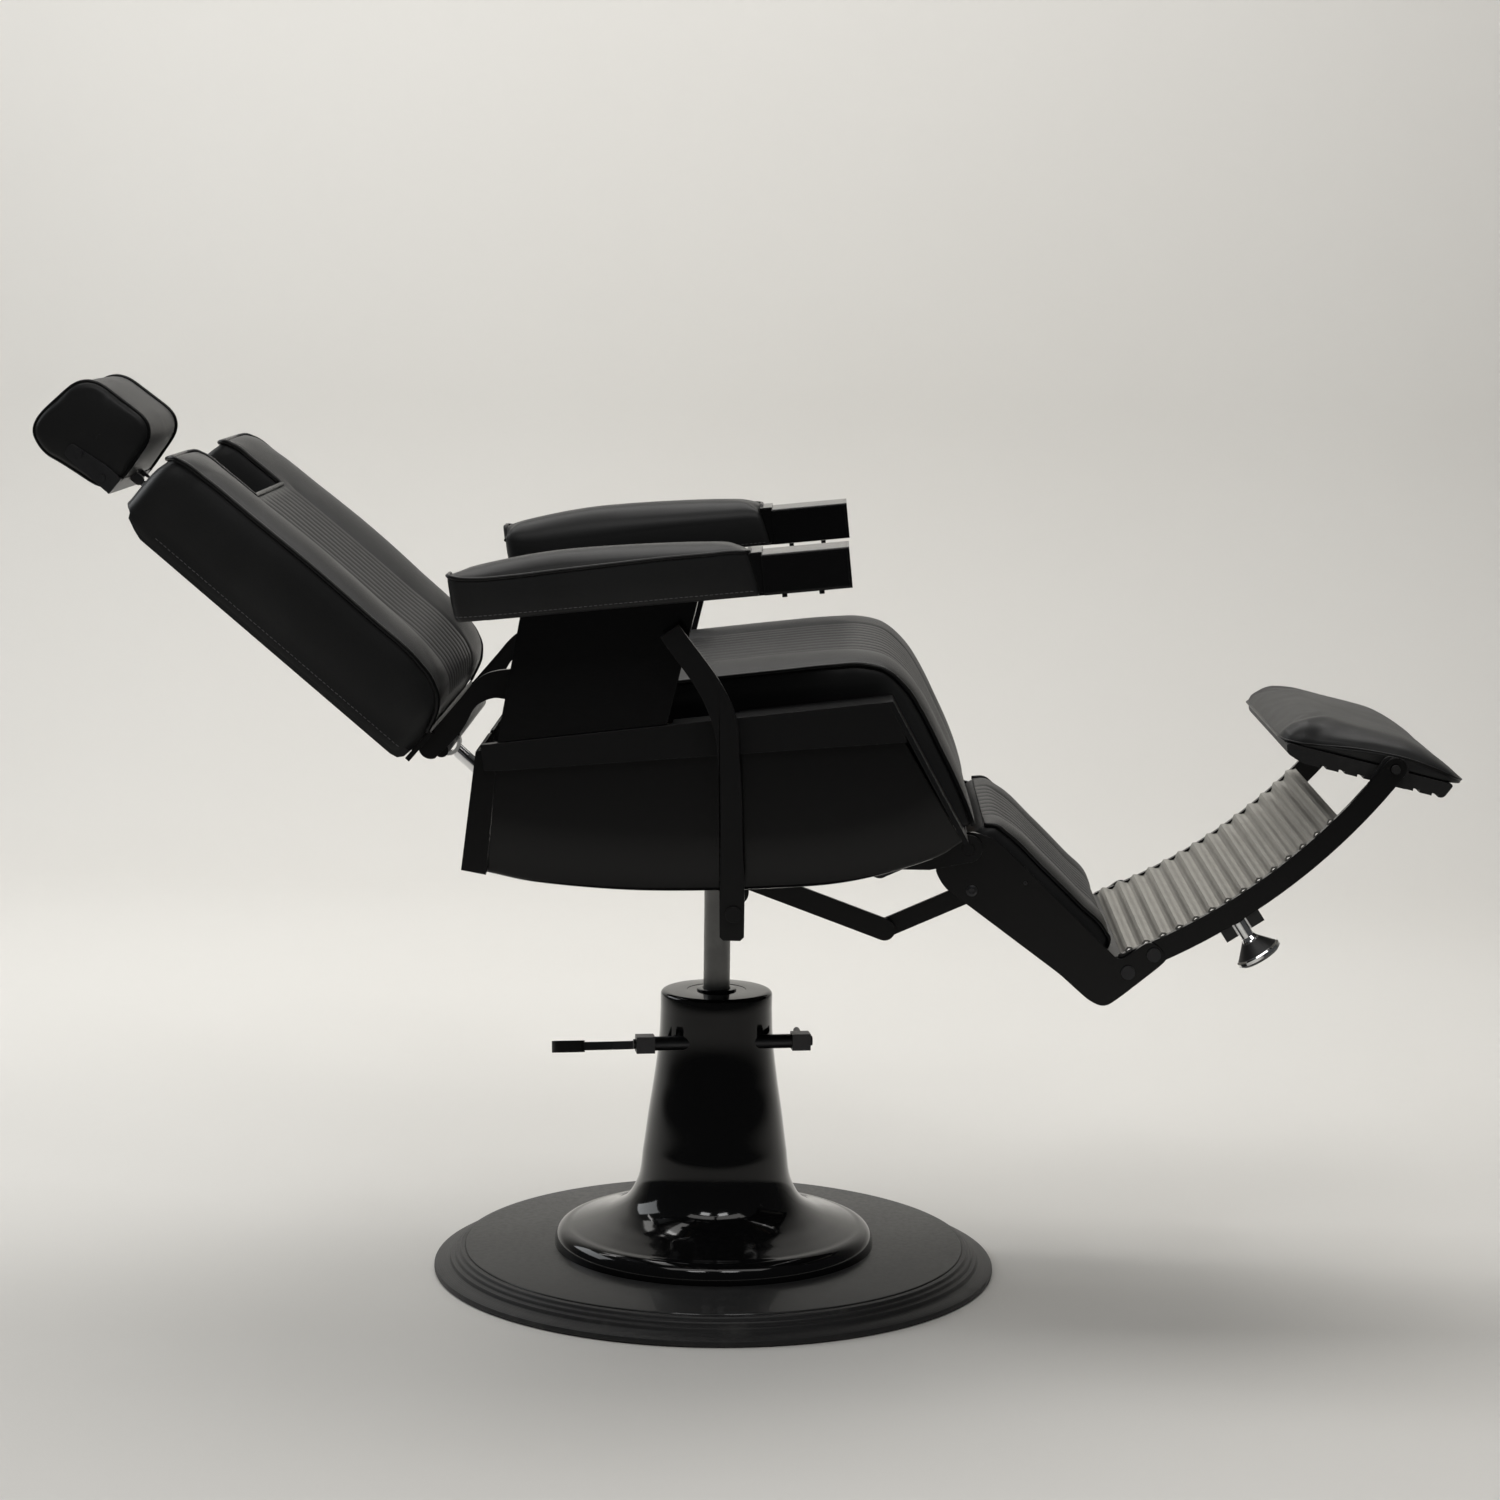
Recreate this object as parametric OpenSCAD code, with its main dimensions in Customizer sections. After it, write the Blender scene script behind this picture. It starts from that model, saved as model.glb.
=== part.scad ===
// Reclining barber chair on a hydraulic base
// Lengths are in mm and angles in degrees.
// +X is the chair's front, +Z is up, and the origin is the base's centre on the floor.
// The chair is drawn raised, with the backrest reclined and the legrest swung up.

/* [Base] */
// Outside diameter of the floor ring
ring_d = 680; // [640:5:720]
// Width of the floor ring
ring_w = 37; // [32:1:44]
// Height of the floor ring
ring_h = 27; // [25:0.5:30]
// Thickness of the base plate
plate_t = 6; // [5:0.5:8]
// Diameter of the pedestal's foot flange
flange_d = 388; // [350:2:420]
// Height of the pedestal's top above the floor
pedestal_h = 342; // [336:1:360]
// Diameter of the pedestal's neck
neck_d = 135; // [131:1:141]
// Wall of the pedestal
pedestal_wall = 5; // [4:0.5:6]
// Outside diameter of the pump cylinder
pump_d = 60; // [56:1:62]
// Diameter of the ram
ram_d = 32; // [28:1:36]
// Travel of the ram
lift = 150; // [140:1:150]

/* [Pump lever] */
// Diameter of the pump shaft
pump_shaft_d = 17; // [15:0.5:19]
// Depth of the pump shaft below the pedestal's top
pump_drop = 55; // [50:1:60]
// Turn of the pump shaft about the pedestal
pump_turn = 9.5; // [5:0.5:14]
// Side of the square hubs on the pump shaft
pump_hub = 20; // [20:0.5:24]
// Diameter of the pedal's rod
pedal_d = 10; // [8:0.5:12]

/* [Seat frame] */
// Width over the two side plates
frame_w = 436; // [434:1:440]
// Thickness of the side plates
side_t = 6; // [5:0.5:7]
// Thickness of the pan that the ram carries
pan_t = 8; // [6:0.5:10]
// Diameter of the cross tubes
tube_d = 24; // [20:1:26]
// Thickness of the seat board
board_t = 12; // [10:0.5:14]
// Distance of the recline pivot behind the ram
back_pivot_x = 196; // [194:0.5:198]
// Height of the recline pivot above the pan's underside
back_pivot_z = 196; // [194:0.5:198]
// Diameter of the recline shaft
back_shaft_d = 16; // [14:0.5:18]
// Distance of the legrest pivot in front of the ram
leg_pivot_x = 292; // [290:0.5:294]
// Height of the legrest pivot above the pan's underside
leg_pivot_z = 14; // [12:0.5:16]
// Diameter of the legrest pins
leg_pin_d = 14; // [12:0.5:15]

/* [Seat] */
// Width of the seat cushion
seat_w = 500; // [490:1:502]
// Thickness of the seat cushion
seat_t = 49; // [42:1:56]
// Height of the seat's rail above the pan's underside, over the ram
rail_z = 170.4; // [168:0.1:173]
// Slope of the seat's rail
rail_slope = 6.96; // [6.6:0.02:7.3]
// Number of stitched channels across the seat
seat_ribs = 16; // [10:1:18]

/* [Housing] */
// Width over the belt rails
housing_w = 640; // [638:1:650]
// Wall of the housing shells
shell_t = 5; // [4:0.5:6]
// Thickness of the belt rails
rail_t = 5.7; // [5:0.1:6.5]
// Height of the belt rail's skirt at the rear
skirt_rear = 31; // [26:1:36]
// Height of the belt rail's skirt at the front
skirt_front = 47; // [40:1:54]

/* [Arms] */
// Distance between the middles of the two arm pads
arm_span = 680; // [678:1:690]
// Width of an arm pad
arm_w = 84; // [80:1:86]
// Length of an arm pad
arm_pad_l = 340; // [320:1:350]
// Height of an arm pad's side
arm_pad_h = 50; // [44:1:56]
// Length of the box in front of an arm pad
arm_box_l = 96; // [85:1:105]
// Height of the box in front of an arm pad
arm_box_h = 45; // [36:1:47]
// Slope of the arms
arm_slope = 6.03; // [5:0.01:6.5]

/* [Backrest] */
// Lean of the backrest from upright
back_lean = 49.7; // [49:0.1:50.4]
// Length of the backrest
back_l = 416; // [400:1:440]
// Width of the backrest
back_w = 524; // [500:2:540]
// Depth of the backrest cushion
back_t = 84; // [70:1:92]
// Width of the notch that the headrest drops into
notch_w = 212; // [206:1:230]
// Depth of that notch
notch_l = 91; // [70:1:95]
// Number of stitched channels across the backrest
back_ribs = 14; // [10:1:18]
// Diameter of the backrest's lower cross bar
bar_d = 16; // [14:0.5:17]

/* [Headrest] */
// Width of the headrest
head_w = 190; // [160:2:192]
// Width of the headrest's post
post_w = 32; // [26:0.5:34]
// Thickness of the headrest's post
post_t = 8.4; // [7:0.1:9]
// Length of the headrest's post
post_l = 302; // [290:1:310]

/* [Legrest] */
// Length of the calf pad
calf_l = 202; // [190:1:204]
// Thickness of the calf pad
calf_t = 41; // [34:1:46]
// Thickness of the legrest's side plates
leg_plate_t = 6; // [5:0.5:7]
// Number of stitched channels across the calf pad
calf_ribs = 12; // [8:1:14]
// Radius of the foot bars' curve
foot_r = 698; // [694:1:702]
// Height of the foot bars' section
foot_bar_h = 26; // [20:1:28]
// Thickness of the foot bars
foot_bar_t = 8; // [6:0.5:8]
// Number of waves in the kick plate
kick_waves = 14; // [8:1:18]
// Thickness of the kick plate's sheet
kick_t = 2.5; // [1.5:0.1:3.5]

/* [Foot pad] */
// Length of the foot pad
foot_pad_l = 216; // [200:1:220]
// Width of the foot pad
foot_pad_w = 380; // [360:2:380]
// Height of the foot pad's cushion at its edge
foot_pad_t = 26; // [20:1:32]

/* [Recline lever] */
// Width of the lever's flat bar
lever_w = 28; // [22:1:30]
// Thickness of the lever's flat bar
lever_t = 8; // [6:0.5:9]
// Diameter of the lever's axle
lever_axle_d = 12; // [10:0.5:12]

/* [Hidden] */
$fn = 48;
// radial clearance of shafts and pins in their holes
fit = 0.05;
// clearance between faces that must not touch
gap = 0.3;
// clearance of a lever or link beside its neighbour
side_gap = 3;

// base, from the floor up
ring_r = ring_d / 2;
plate_r = ring_r - ring_w;
plate_top = ring_h + 1;
foot_t = 8;
foot_r_base = 120;
boss_r = 60;
flange_r = flange_d / 2;
flange_t = 8;
neck_r = neck_d / 2;
pump_r = pump_d / 2;
pump_wall = 5;
ram_r = ram_d / 2;
spigot_r = ram_r - 2;
bush_h = 12;
bush_flange_t = 8;
bush_r = ram_r + 9;
bush_top = pedestal_h + bush_flange_t;
bolt_ring_r = 150;
bolt_r = 5;

// pump lever, measured along and across its own shaft
pump_shaft_r = pump_shaft_d / 2;
pump_z = pedestal_h - pump_drop;
pump_off = pump_r + 17.7;
pump_end_rear = -103;
pump_end_front = 107;
pedal_r = pedal_d / 2;
stub_r = 4;
pedal_tilt = 13.9;
pedal_path = [[-91, 2], [-91, 38], [-100, 60], [-122, 72], [-150, 75.2], [-190, 75.2]];
stub_root = [96, -4, 0];
stub_end = [99, 50, 2];

// seat frame; heights in the chair are measured from the pan's underside
hub_h = 35.4;
hub_r = 30;
hub_flange_r = 45;
hub_flange_t = 8;
hub_gap = 5.6;
pan_z = bush_top + hub_gap + lift + hub_h;
side_out = frame_w / 2;
side_in = side_out - side_t;
pan_rear = -100;
pan_front = 230;
tube_r = tube_d / 2;
back_pivot = [-back_pivot_x, back_pivot_z];
leg_pivot = [leg_pivot_x, leg_pivot_z];
rocker_pivot = [20, -18];
push_rear = [198, -83];
push_front = [300, -37];
sync_arm = 105;
sync_lean = 4;
sync_front = rocker_pivot + sync_arm * [-sin(sync_lean), cos(sync_lean)];
crank_l = 27;
crank_lean = 18;
sync_rear = back_pivot + crank_l * [-sin(crank_lean), cos(crank_lean)];
rocker_r = 12;
rocker_boss_r = 18;
rocker_boss_out = 255.5;
back_shaft_r = back_shaft_d / 2;
leg_pin_r = leg_pin_d / 2;
ear_r = 20;
leg_lobe_r = 16;
link_pin_r = 5;
arm_tube_x = [-170, -100];
arm_tube_z = 99;
bracket_x = -150;
cylinder_y = -150;
cylinder_pin = [-168, -6];

// distances from the middle plane, from the legrest outwards
leg_out = side_out - side_t - side_gap;
leg_in = leg_out - leg_plate_t;
link_out = leg_in - 2;
link_t = 6;
head_out = link_out - link_t - gap;
neck_in = side_out + 6;
neck_t = 8;
rocker_out = rocker_boss_out + 0.5;
sync_in = rocker_out + link_t + 1;
sync_t = 5;
post_in = 274;
post_out = 316;
foot_out = 306;
back_shaft_end = 290;

// seat board, rail line and front edge
function rail(x) = rail_z + tan(rail_slope) * x;
rail_drop = 8;
board_rear = -172;
board_corner = 181;
board_low = [256, 42];
board_half = seat_w / 2 - 4;
board_bend = [board_corner, rail(board_corner) - rail_drop];
board_dir = (board_low - board_bend) / norm(board_low - board_bend);
board_normal = [-board_dir[1], board_dir[0]];
seat_half = seat_w / 2;
front_top = [201, rail(201)];
front_low = [288, 38];
front_dir = (front_low - front_top) / norm(front_low - front_top);
front_normal = [-front_dir[1], front_dir[0]];

// housing
rail_out = housing_w / 2;
tub_out = rail_out - rail_t - gap;
tub_in = tub_out - shell_t;
lip_in = 265;
ledge_t = 5;
rail_rear = -258;
trim_in = seat_half + 7;
cap_wall = 6;
tub_rear_top = [-237, 136];
tub_rear_low = [-250, -8];

// arms, in a frame at the top front corner of the arm's spine
arm_origin = [154, 326];
arm_mid = arm_span / 2;
arm_half = arm_w / 2;
box_wall = 3;
spine_rear = -400;
spine_t = 8;
spine_in = 306;
spine_out = 374;
spigot_rear = -130;
spigot_half = (spine_out - spine_in) / 2;
spigot_h = arm_box_h - 7;
peg_r = 3;

// backrest, in a frame whose Z runs up the back and whose X points forward
back_origin = [-354, 113];
end_plate = [-10.3, -4.3];
end_plate_half = 240;
shell_rear = -2;
shell_front = 14;
frame_front = 18.3;
pad_rear = frame_front + gap;
shell_top = back_l - 8;
bar_r = bar_d / 2;
bar_pos = [33.3, -30];
slot_half = post_w / 2 + 4.5;
sleeve_wall = 3.5;
sleeve_low = back_l - notch_l - 110;
sleeve_high = back_l - notch_l - 1;
post_mid = 7;
post_low = 148;
post_high = post_low + post_l;
tilt_pos = [post_mid, post_high - 2];
tilt_pin_r = 2.5;
head_low = post_high + 10;
head_half = head_w / 2;
ear_t = 3;

// recline cylinder, from its lower pin to the cross bar
bar_world = back_origin + bar_pos[0] * [cos(back_lean), sin(back_lean)]
    + bar_pos[1] * [-sin(back_lean), cos(back_lean)];
cylinder_run = bar_world - cylinder_pin;
cylinder_l = norm(cylinder_run);
cylinder_turn = atan2(cylinder_run[1], cylinder_run[0]);
barrel_r = 13;
barrel_l = 112;
rod_r = 8;
rod_eye_play = 2.9;
rod_eye_r = bar_r + rod_eye_play + 4.2;

// legrest, in a frame at its pivot whose Z runs up the leg and whose X points forward
leg_lean = 45.8;
leg_tube_r = 10;
leg_board_t = 8;
leg_board_rear = -6.5;
leg_tube_x = leg_board_rear - leg_tube_r;
leg_tube_z = [-67.6, -168];
calf_top = 2.5;
calf_rear = leg_board_rear + leg_board_t + gap;
calf_half = 193;
foot_bolts = [[27.8, -232.3], [63.1, -238.5]];

// foot bars and kick plate on one centre, given from the pan's underside
foot_centre = [216.4, 528.4];
foot_a0 = -68.1;
foot_a1 = -36.7;
kick_r = foot_r - 12;
kick_a0 = -68.3;
kick_a1 = -43.6;
kick_amp = 3.5;
foot_pivot = foot_centre + foot_r * [cos(foot_a1), sin(foot_a1)];
foot_lean = 13.3;
foot_pad_front = 84;
foot_shell_front = 72;
foot_shell_rear = 6 - (foot_pad_l - foot_pad_front);
foot_shell_h = 18.5;
foot_half = foot_pad_w / 2;
bumper_a = -57;

// recline lever
lever_pivot = [28, -41];
lever_y = -352;
lever_axle_r = lever_axle_d / 2;

steel_black = [0.06, 0.06, 0.065];
gloss_black = [0.03, 0.03, 0.035];
vinyl = [0.09, 0.09, 0.095];
stitch_black = [0.12, 0.12, 0.125];
bright = [0.72, 0.73, 0.75];
grey_metal = [0.5, 0.51, 0.52];
rubber = [0.07, 0.07, 0.07];

// ---- shared shapes ----

// an outline in the side plane, given thickness between two distances from the middle plane
module slab(y0, y1) {
    translate([0, y1, 0]) rotate([90, 0, 0]) linear_extrude(y1 - y0) children();
}

// a piece and its mirror image on the chair's other side
module both_sides() {
    children();
    mirror([0, 1, 0]) children();
}

// a round pin across the chair
module pin(p, r, y0, y1) {
    slab(y0, y1) translate(p) circle(r);
}

// a flat bar with round ends, as an outline
module bar_outline(p, q, w) {
    d = (q - p) / norm(q - p);
    n = [-d[1], d[0]] * w / 2;
    translate(p) circle(w / 2);
    translate(q) circle(w / 2);
    polygon([p + n, q + n, q - n, p - n]);
}

// outline of a flat bar that follows a path, its corners mitred
function across(a, b) = let (d = (b - a) / norm(b - a)) [-d[1], d[0]];
function mitre(path, i) =
    let (m = across(path[max(i - 1, 0)], path[max(i, 1)]),
         n = across(path[min(i, len(path) - 2)], path[min(i + 1, len(path) - 1)]))
    (m + n) / (1 + m * n);
function band(path, w) = concat(
    [for (i = [0 : len(path) - 1]) path[i] + mitre(path, i) * w / 2],
    [for (i = [len(path) - 1 : -1 : 0]) path[i] - mitre(path, i) * w / 2]);

// a round rod from one point to another
module stick(a, b, r) {
    d = b - a;
    translate(a) rotate([0, acos(d[2] / norm(d)), atan2(d[1], d[0])]) cylinder(h = norm(d), r = r);
}

// corner of an outline eased over a reach
function eased(a, b, c, reach) =
    let (p = b + (a - b) / norm(a - b) * min(reach, norm(a - b) / 2),
         q = b + (c - b) / norm(c - b) * min(reach, norm(c - b) / 2))
    [for (t = [0 : 0.25 : 1]) p * pow(1 - t, 2) + b * 2 * t * (1 - t) + q * pow(t, 2)];

// outline with every corner eased
function rounded(pts, reach) =
    let (n = len(pts))
    [for (i = [0 : n - 1]) each eased(pts[(i + n - 1) % n], pts[i], pts[(i + 1) % n], reach)];

// smooth curve through key points
function between(a, b, c, d, t) =
    0.5 * (2 * b + (c - a) * t + (2 * a - 5 * b + 4 * c - d) * pow(t, 2)
    + (3 * b - a - 3 * c + d) * pow(t, 3));
function smooth(keys, n) =
    let (k = len(keys))
    [for (i = [0 : k - 2], j = [0 : n - 1])
        between(keys[max(i - 1, 0)], keys[i], keys[i + 1], keys[min(i + 2, k - 1)], j / n),
     keys[k - 1]];

// solid through a row of rings with as many points each, closed at both ends by a fan whose
// centre may be drawn towards the foot of the ring and stand out past the last one
module skin(rings, low = 0, proud = 0) {
    n = len(rings[0]);
    k = len(rings);
    mean = [for (r = [rings[0], rings[k - 1]]) [for (c = [0 : 2]) [for (p = r) p[c]] * [for (p = r) 1] / n]];
    foot = [for (r = [rings[0], rings[k - 1]]) (r[0] + r[n - 1]) / 2];
    centre = mean * (1 - low) + foot * low;
    past = rings[k - 1][0] - rings[k - 2][0];
    mid = [centre[0], centre[1] + past / norm(past) * proud];
    points = concat([for (r = rings) each r], mid);
    walls = [for (i = [0 : k - 2], j = [0 : n - 1])
        let (a = i * n + j, b = i * n + (j + 1) % n, c = a + n, d = b + n)
        each [[a, c, d], [a, d, b]]];
    first = [for (j = [0 : n - 1]) [k * n, j, (j + 1) % n]];
    last = [for (j = [0 : n - 1]) [k * n + 1, (k - 1) * n + (j + 1) % n, (k - 1) * n + j]];
    polyhedron(points = points, faces = concat(walls, first, last));
}

// section of a sewn cushion as [across, height], the welt at the given height:
// the sides are drawn in at the foot and under the welt, and the top has a crown and channels
function cushion_section(half, height, crown, bulge, ribs, dip) =
    let (side = [[half - 4, 0], [half, 0.12], [half + bulge, 0.5], [half + bulge * 0.6, 0.78],
                 [half - 2.5, 0.93], [half - 0.5, 0.97], [half - 2, 1]],
         field = ribs > 0 ? half - 34 : (half - 9) * 0.85,
         steps = max(ribs, 3) * 3,
         right = [for (p = side) [p[0], p[1] * height]],
         left = [for (i = [len(side) - 1 : -1 : 0]) [-side[i][0], side[i][1] * height]],
         edge = [half - 9, height + crown * 0.22],
         top = [for (i = [0 : steps])
             let (y = field * (1 - 2 * i / steps))
             [y, height + crown * (1 - pow(y / half, 4)) - (ribs > 0 ? dip * (1 - abs(sin(60 * i))) : 0)]])
    concat(right, [edge], top, [[-edge[0], edge[1]]], left);

// frame that the chair's own heights are measured in
module on_pan() {
    translate([0, 0, pan_z]) children();
}

// frame at the pump shaft, X along it
module on_pump() {
    translate([0, 0, pump_z]) rotate([0, 0, pump_turn]) translate([0, -pump_off, 0]) children();
}

// frame along the rail's top
module on_rail() {
    on_pan() translate([0, 0, rail_z]) rotate([0, -rail_slope, 0]) children();
}

// frame along an arm, on the near side or the far side
module on_arm(side) {
    on_pan() scale_side(side) translate([arm_origin[0], 0, arm_origin[1]]) rotate([0, -arm_slope, 0]) children();
}

// the right-hand side is -1 and the left-hand side is 1
module scale_side(side) {
    if (side > 0) children();
    else mirror([0, 1, 0]) children();
}

// frame of the backrest
module on_back() {
    on_pan() translate([back_origin[0], 0, back_origin[1]]) rotate([0, -back_lean, 0]) children();
}

// frame of the legrest
module on_leg() {
    on_pan() translate([leg_pivot[0], 0, leg_pivot[1]]) rotate([0, -leg_lean, 0]) children();
}

// frame of the foot pad
module on_foot() {
    on_pan() translate([foot_pivot[0], 0, foot_pivot[1]]) rotate([0, foot_lean, 0]) children();
}

// ---- base ----

// rubber ring that the base stands on, stepped on top
module floor_ring() {
    color(rubber) rotate_extrude($fn = 96)
        polygon([[plate_r - 15, 0], [ring_r, 0], [ring_r, ring_h * 0.42], [ring_r - 4, ring_h * 0.6],
            [ring_r - 9, ring_h * 0.64], [ring_r - 10, ring_h * 0.72], [ring_r - 16, ring_h * 0.75],
            [ring_r - 17, ring_h * 0.85], [ring_r - 24, ring_h * 0.88], [ring_r - 25, ring_h * 0.98],
            [plate_r + 3, ring_h], [plate_r, ring_h - 1], [plate_r, 3], [plate_r - 15, 3]]);
}

// steel disc with a turned-down rim
module base_plate() {
    color(steel_black) difference() {
        rotate_extrude($fn = 96)
            polygon([[0, plate_top - plate_t], [plate_r - 8, plate_top - plate_t], [plate_r - 8, 3],
                [plate_r - gap, 3], [plate_r - gap, plate_top - 3], [plate_r - 3, plate_top], [0, plate_top]]);
        translate([0, 0, 3]) cylinder(h = ring_h, r = pump_r + 4);
        for (a = [45 : 90 : 315]) rotate([0, 0, a]) translate([bolt_ring_r, 0, 3])
            cylinder(h = ring_h, r = bolt_r + gap);
    }
}

// disc on the floor that carries the pump cylinder
module pump_foot() {
    color(steel_black) difference() {
        union() {
            cylinder(h = foot_t, r = foot_r_base);
            cylinder(h = plate_top - plate_t, r = boss_r);
        }
        translate([0, 0, foot_t]) cylinder(h = plate_top, r = pump_r + fit);
    }
}

// point on the pedestal's flare, as shares of its spread and height
function flare(f, g) = [neck_r + f * (flange_r - neck_r), plate_top + g * (pedestal_h - plate_top)];

// bell-shaped casting, hollow from below inside its solid foot flange
module pedestal() {
    curve = smooth([flare(0, 0.93), flare(0.01, 0.82), flare(0.055, 0.66), flare(0.107, 0.52),
        flare(0.152, 0.385), flare(0.215, 0.24), flare(0.32, 0.172), flare(0.47, 0.132),
        flare(0.66, 0.102), flare(0.85, 0.078), flare(0.955, 0.055)], 3);
    outer = concat([[0, pedestal_h], [neck_r - 4, pedestal_h], [neck_r - 1, pedestal_h - 1.5],
        [neck_r, pedestal_h - 5]], curve, [[flange_r, plate_top + flange_t], [flange_r, plate_top], [0, plate_top]]);
    inner = concat([[0, pedestal_h - pedestal_wall], [neck_r - pedestal_wall, pedestal_h - pedestal_wall]],
        [for (p = curve) if (p[0] < bolt_ring_r - 8) p - [pedestal_wall, pedestal_wall]],
        [[bolt_ring_r - 10, plate_top], [bolt_ring_r - 10, 0], [0, 0]]);
    color(gloss_black) difference() {
        rotate_extrude($fn = 96) polygon(outer);
        rotate_extrude($fn = 96) polygon(inner);
        translate([0, 0, pedestal_h - bush_h - 1]) cylinder(h = bush_h + 2, r = bush_r + fit);
        on_pump() translate([-flange_r, 0, 0]) rotate([0, 90, 0]) cylinder(h = flange_d, r = pump_shaft_r + fit);
        for (a = [45 : 90 : 315]) rotate([0, 0, a]) translate([bolt_ring_r, 0, plate_top - 1])
            cylinder(h = 14, r = bolt_r + fit);
    }
}

// steel tube that the ram's piston runs in
module pump_cylinder() {
    color(grey_metal) difference() {
        translate([0, 0, foot_t]) cylinder(h = pedestal_h - bush_h - foot_t, r = pump_r);
        translate([0, 0, foot_t + 10]) cylinder(h = pedestal_h, r = pump_r - pump_wall);
    }
}

// flanged bush in the pedestal's top
module ram_bush() {
    color(gloss_black) difference() {
        union() {
            translate([0, 0, pedestal_h - bush_h]) cylinder(h = bush_h, r = bush_r);
            translate([0, 0, pedestal_h]) cylinder(h = bush_flange_t - 2, r = bush_r + 11);
            translate([0, 0, bush_top - 2]) cylinder(h = 2, r1 = bush_r + 11, r2 = bush_r + 9);
        }
        translate([0, 0, pedestal_h - bush_h - 1]) cylinder(h = bush_top, r = ram_r + fit);
    }
}

// bolts from below the base plate into the pedestal
module base_bolts() {
    color(grey_metal) for (a = [45 : 90 : 315]) rotate([0, 0, a]) translate([bolt_ring_r, 0, 0]) {
        translate([0, 0, plate_top - plate_t - 7]) cylinder(h = 7, r = 9, $fn = 6);
        translate([0, 0, plate_top - plate_t - 7]) cylinder(h = plate_t + 7 + 12, r = bolt_r);
    }
}

// cross shaft with a square hub outside each side of the pedestal
module pump_shaft() {
    color(steel_black) on_pump() difference() {
        union() {
            translate([pump_end_rear, 0, 0]) rotate([0, 90, 0])
                cylinder(h = pump_end_front - pump_end_rear, r = pump_shaft_r);
            translate([pump_end_rear, -pump_hub / 2, -pump_hub / 2]) cube([22, pump_hub, pump_hub]);
            translate([pump_end_front - 22, -pump_hub / 2, -pump_hub / 2]) cube([22, pump_hub, pump_hub]);
            translate([pump_end_rear - 3, 0, 0]) rotate([0, 90, 0]) cylinder(h = 4, r = 6);
            translate([pump_end_front - 1, 0, 0]) rotate([0, 90, 0]) cylinder(h = 4, r = 6);
        }
        rotate([-pedal_tilt, 0, 0]) translate([pedal_path[0][0] - pedal_r - fit, pedal_path[0][1] - fit,
            -pedal_r - fit]) cube([pedal_d + 2 * fit, 40, pedal_d + 2 * fit]);
        stick(stub_root, stub_end, stub_r + fit);
    }
}

// forged pedal swept back from the rear hub, and the stub on the front hub
module pump_pedal() {
    color(steel_black) on_pump() {
        rotate([-pedal_tilt, 0, 0]) translate([0, 0, -pedal_r]) linear_extrude(pedal_d)
            polygon(band(pedal_path, pedal_d));
        stick(stub_root, stub_end, stub_r);
    }
}

// rubber sleeve on the pedal's end
module pedal_pad() {
    tip = pedal_path[len(pedal_path) - 1];
    color(rubber) on_pump() rotate([-pedal_tilt, 0, 0]) difference() {
        translate([tip[0] - 7, tip[1], -pedal_r - 2]) linear_extrude(pedal_d + 4)
            polygon(rounded([[0, -11], [40, -9], [40, 9], [0, 11]], 9));
        translate([tip[0] - gap, tip[1] - pedal_r - gap, -pedal_r - gap])
            cube([60, pedal_d + 2 * gap, pedal_d + 2 * gap]);
    }
}

// polished ram with its piston below and the swivel spigot on top
module ram() {
    shoulder = pan_z - hub_h - gap;
    color(bright) {
        translate([0, 0, shoulder - 310]) cylinder(h = 16, r = pump_r - pump_wall - fit);
        translate([0, 0, shoulder - 310]) cylinder(h = 310, r = ram_r);
        translate([0, 0, shoulder - 1]) cylinder(h = hub_h + 1, r = spigot_r);
    }
}

// ---- seat frame ----

// flanged hub that turns on the ram's spigot
module swivel_hub() {
    color(steel_black) on_pan() difference() {
        union() {
            translate([0, 0, -hub_h]) cylinder(h = hub_h, r = hub_r);
            translate([0, 0, -hub_flange_t]) cylinder(h = hub_flange_t, r = hub_flange_r);
        }
        translate([0, 0, -hub_h - 1]) cylinder(h = hub_h + 2, r = spigot_r + fit);
    }
}

// pan between the side plates, with two ribs along it
module frame_pan() {
    color(steel_black) on_pan() {
        translate([pan_rear, -side_in, 0]) cube([pan_front - pan_rear, 2 * side_in, pan_t]);
        both_sides() translate([pan_rear, 90, pan_t]) cube([pan_front - pan_rear, 6, 24]);
    }
}

// outline of a side plate, its pivots' ears left out
module side_outline() {
    polygon([[board_rear - gap, rail(board_rear) - rail_drop - board_t - gap],
        [back_pivot[0] + ear_r, back_pivot[1] - 12], [back_pivot[0] + ear_r, back_pivot[1]],
        [back_pivot[0] - ear_r, back_pivot[1]], [-206, 110], [-176, 0], [-160, -11], [248, -11],
        [leg_pivot[0], leg_pivot[1] - leg_lobe_r], [leg_pivot[0], leg_pivot[1] + leg_lobe_r],
        board_low - board_t * board_normal + [-1, -8],
        board_bend - board_t * board_normal * 1.05 + [-2, -9],
        [board_bend[0] - 22, rail(board_bend[0] - 22) - rail_drop - board_t - gap]]);
}

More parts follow.
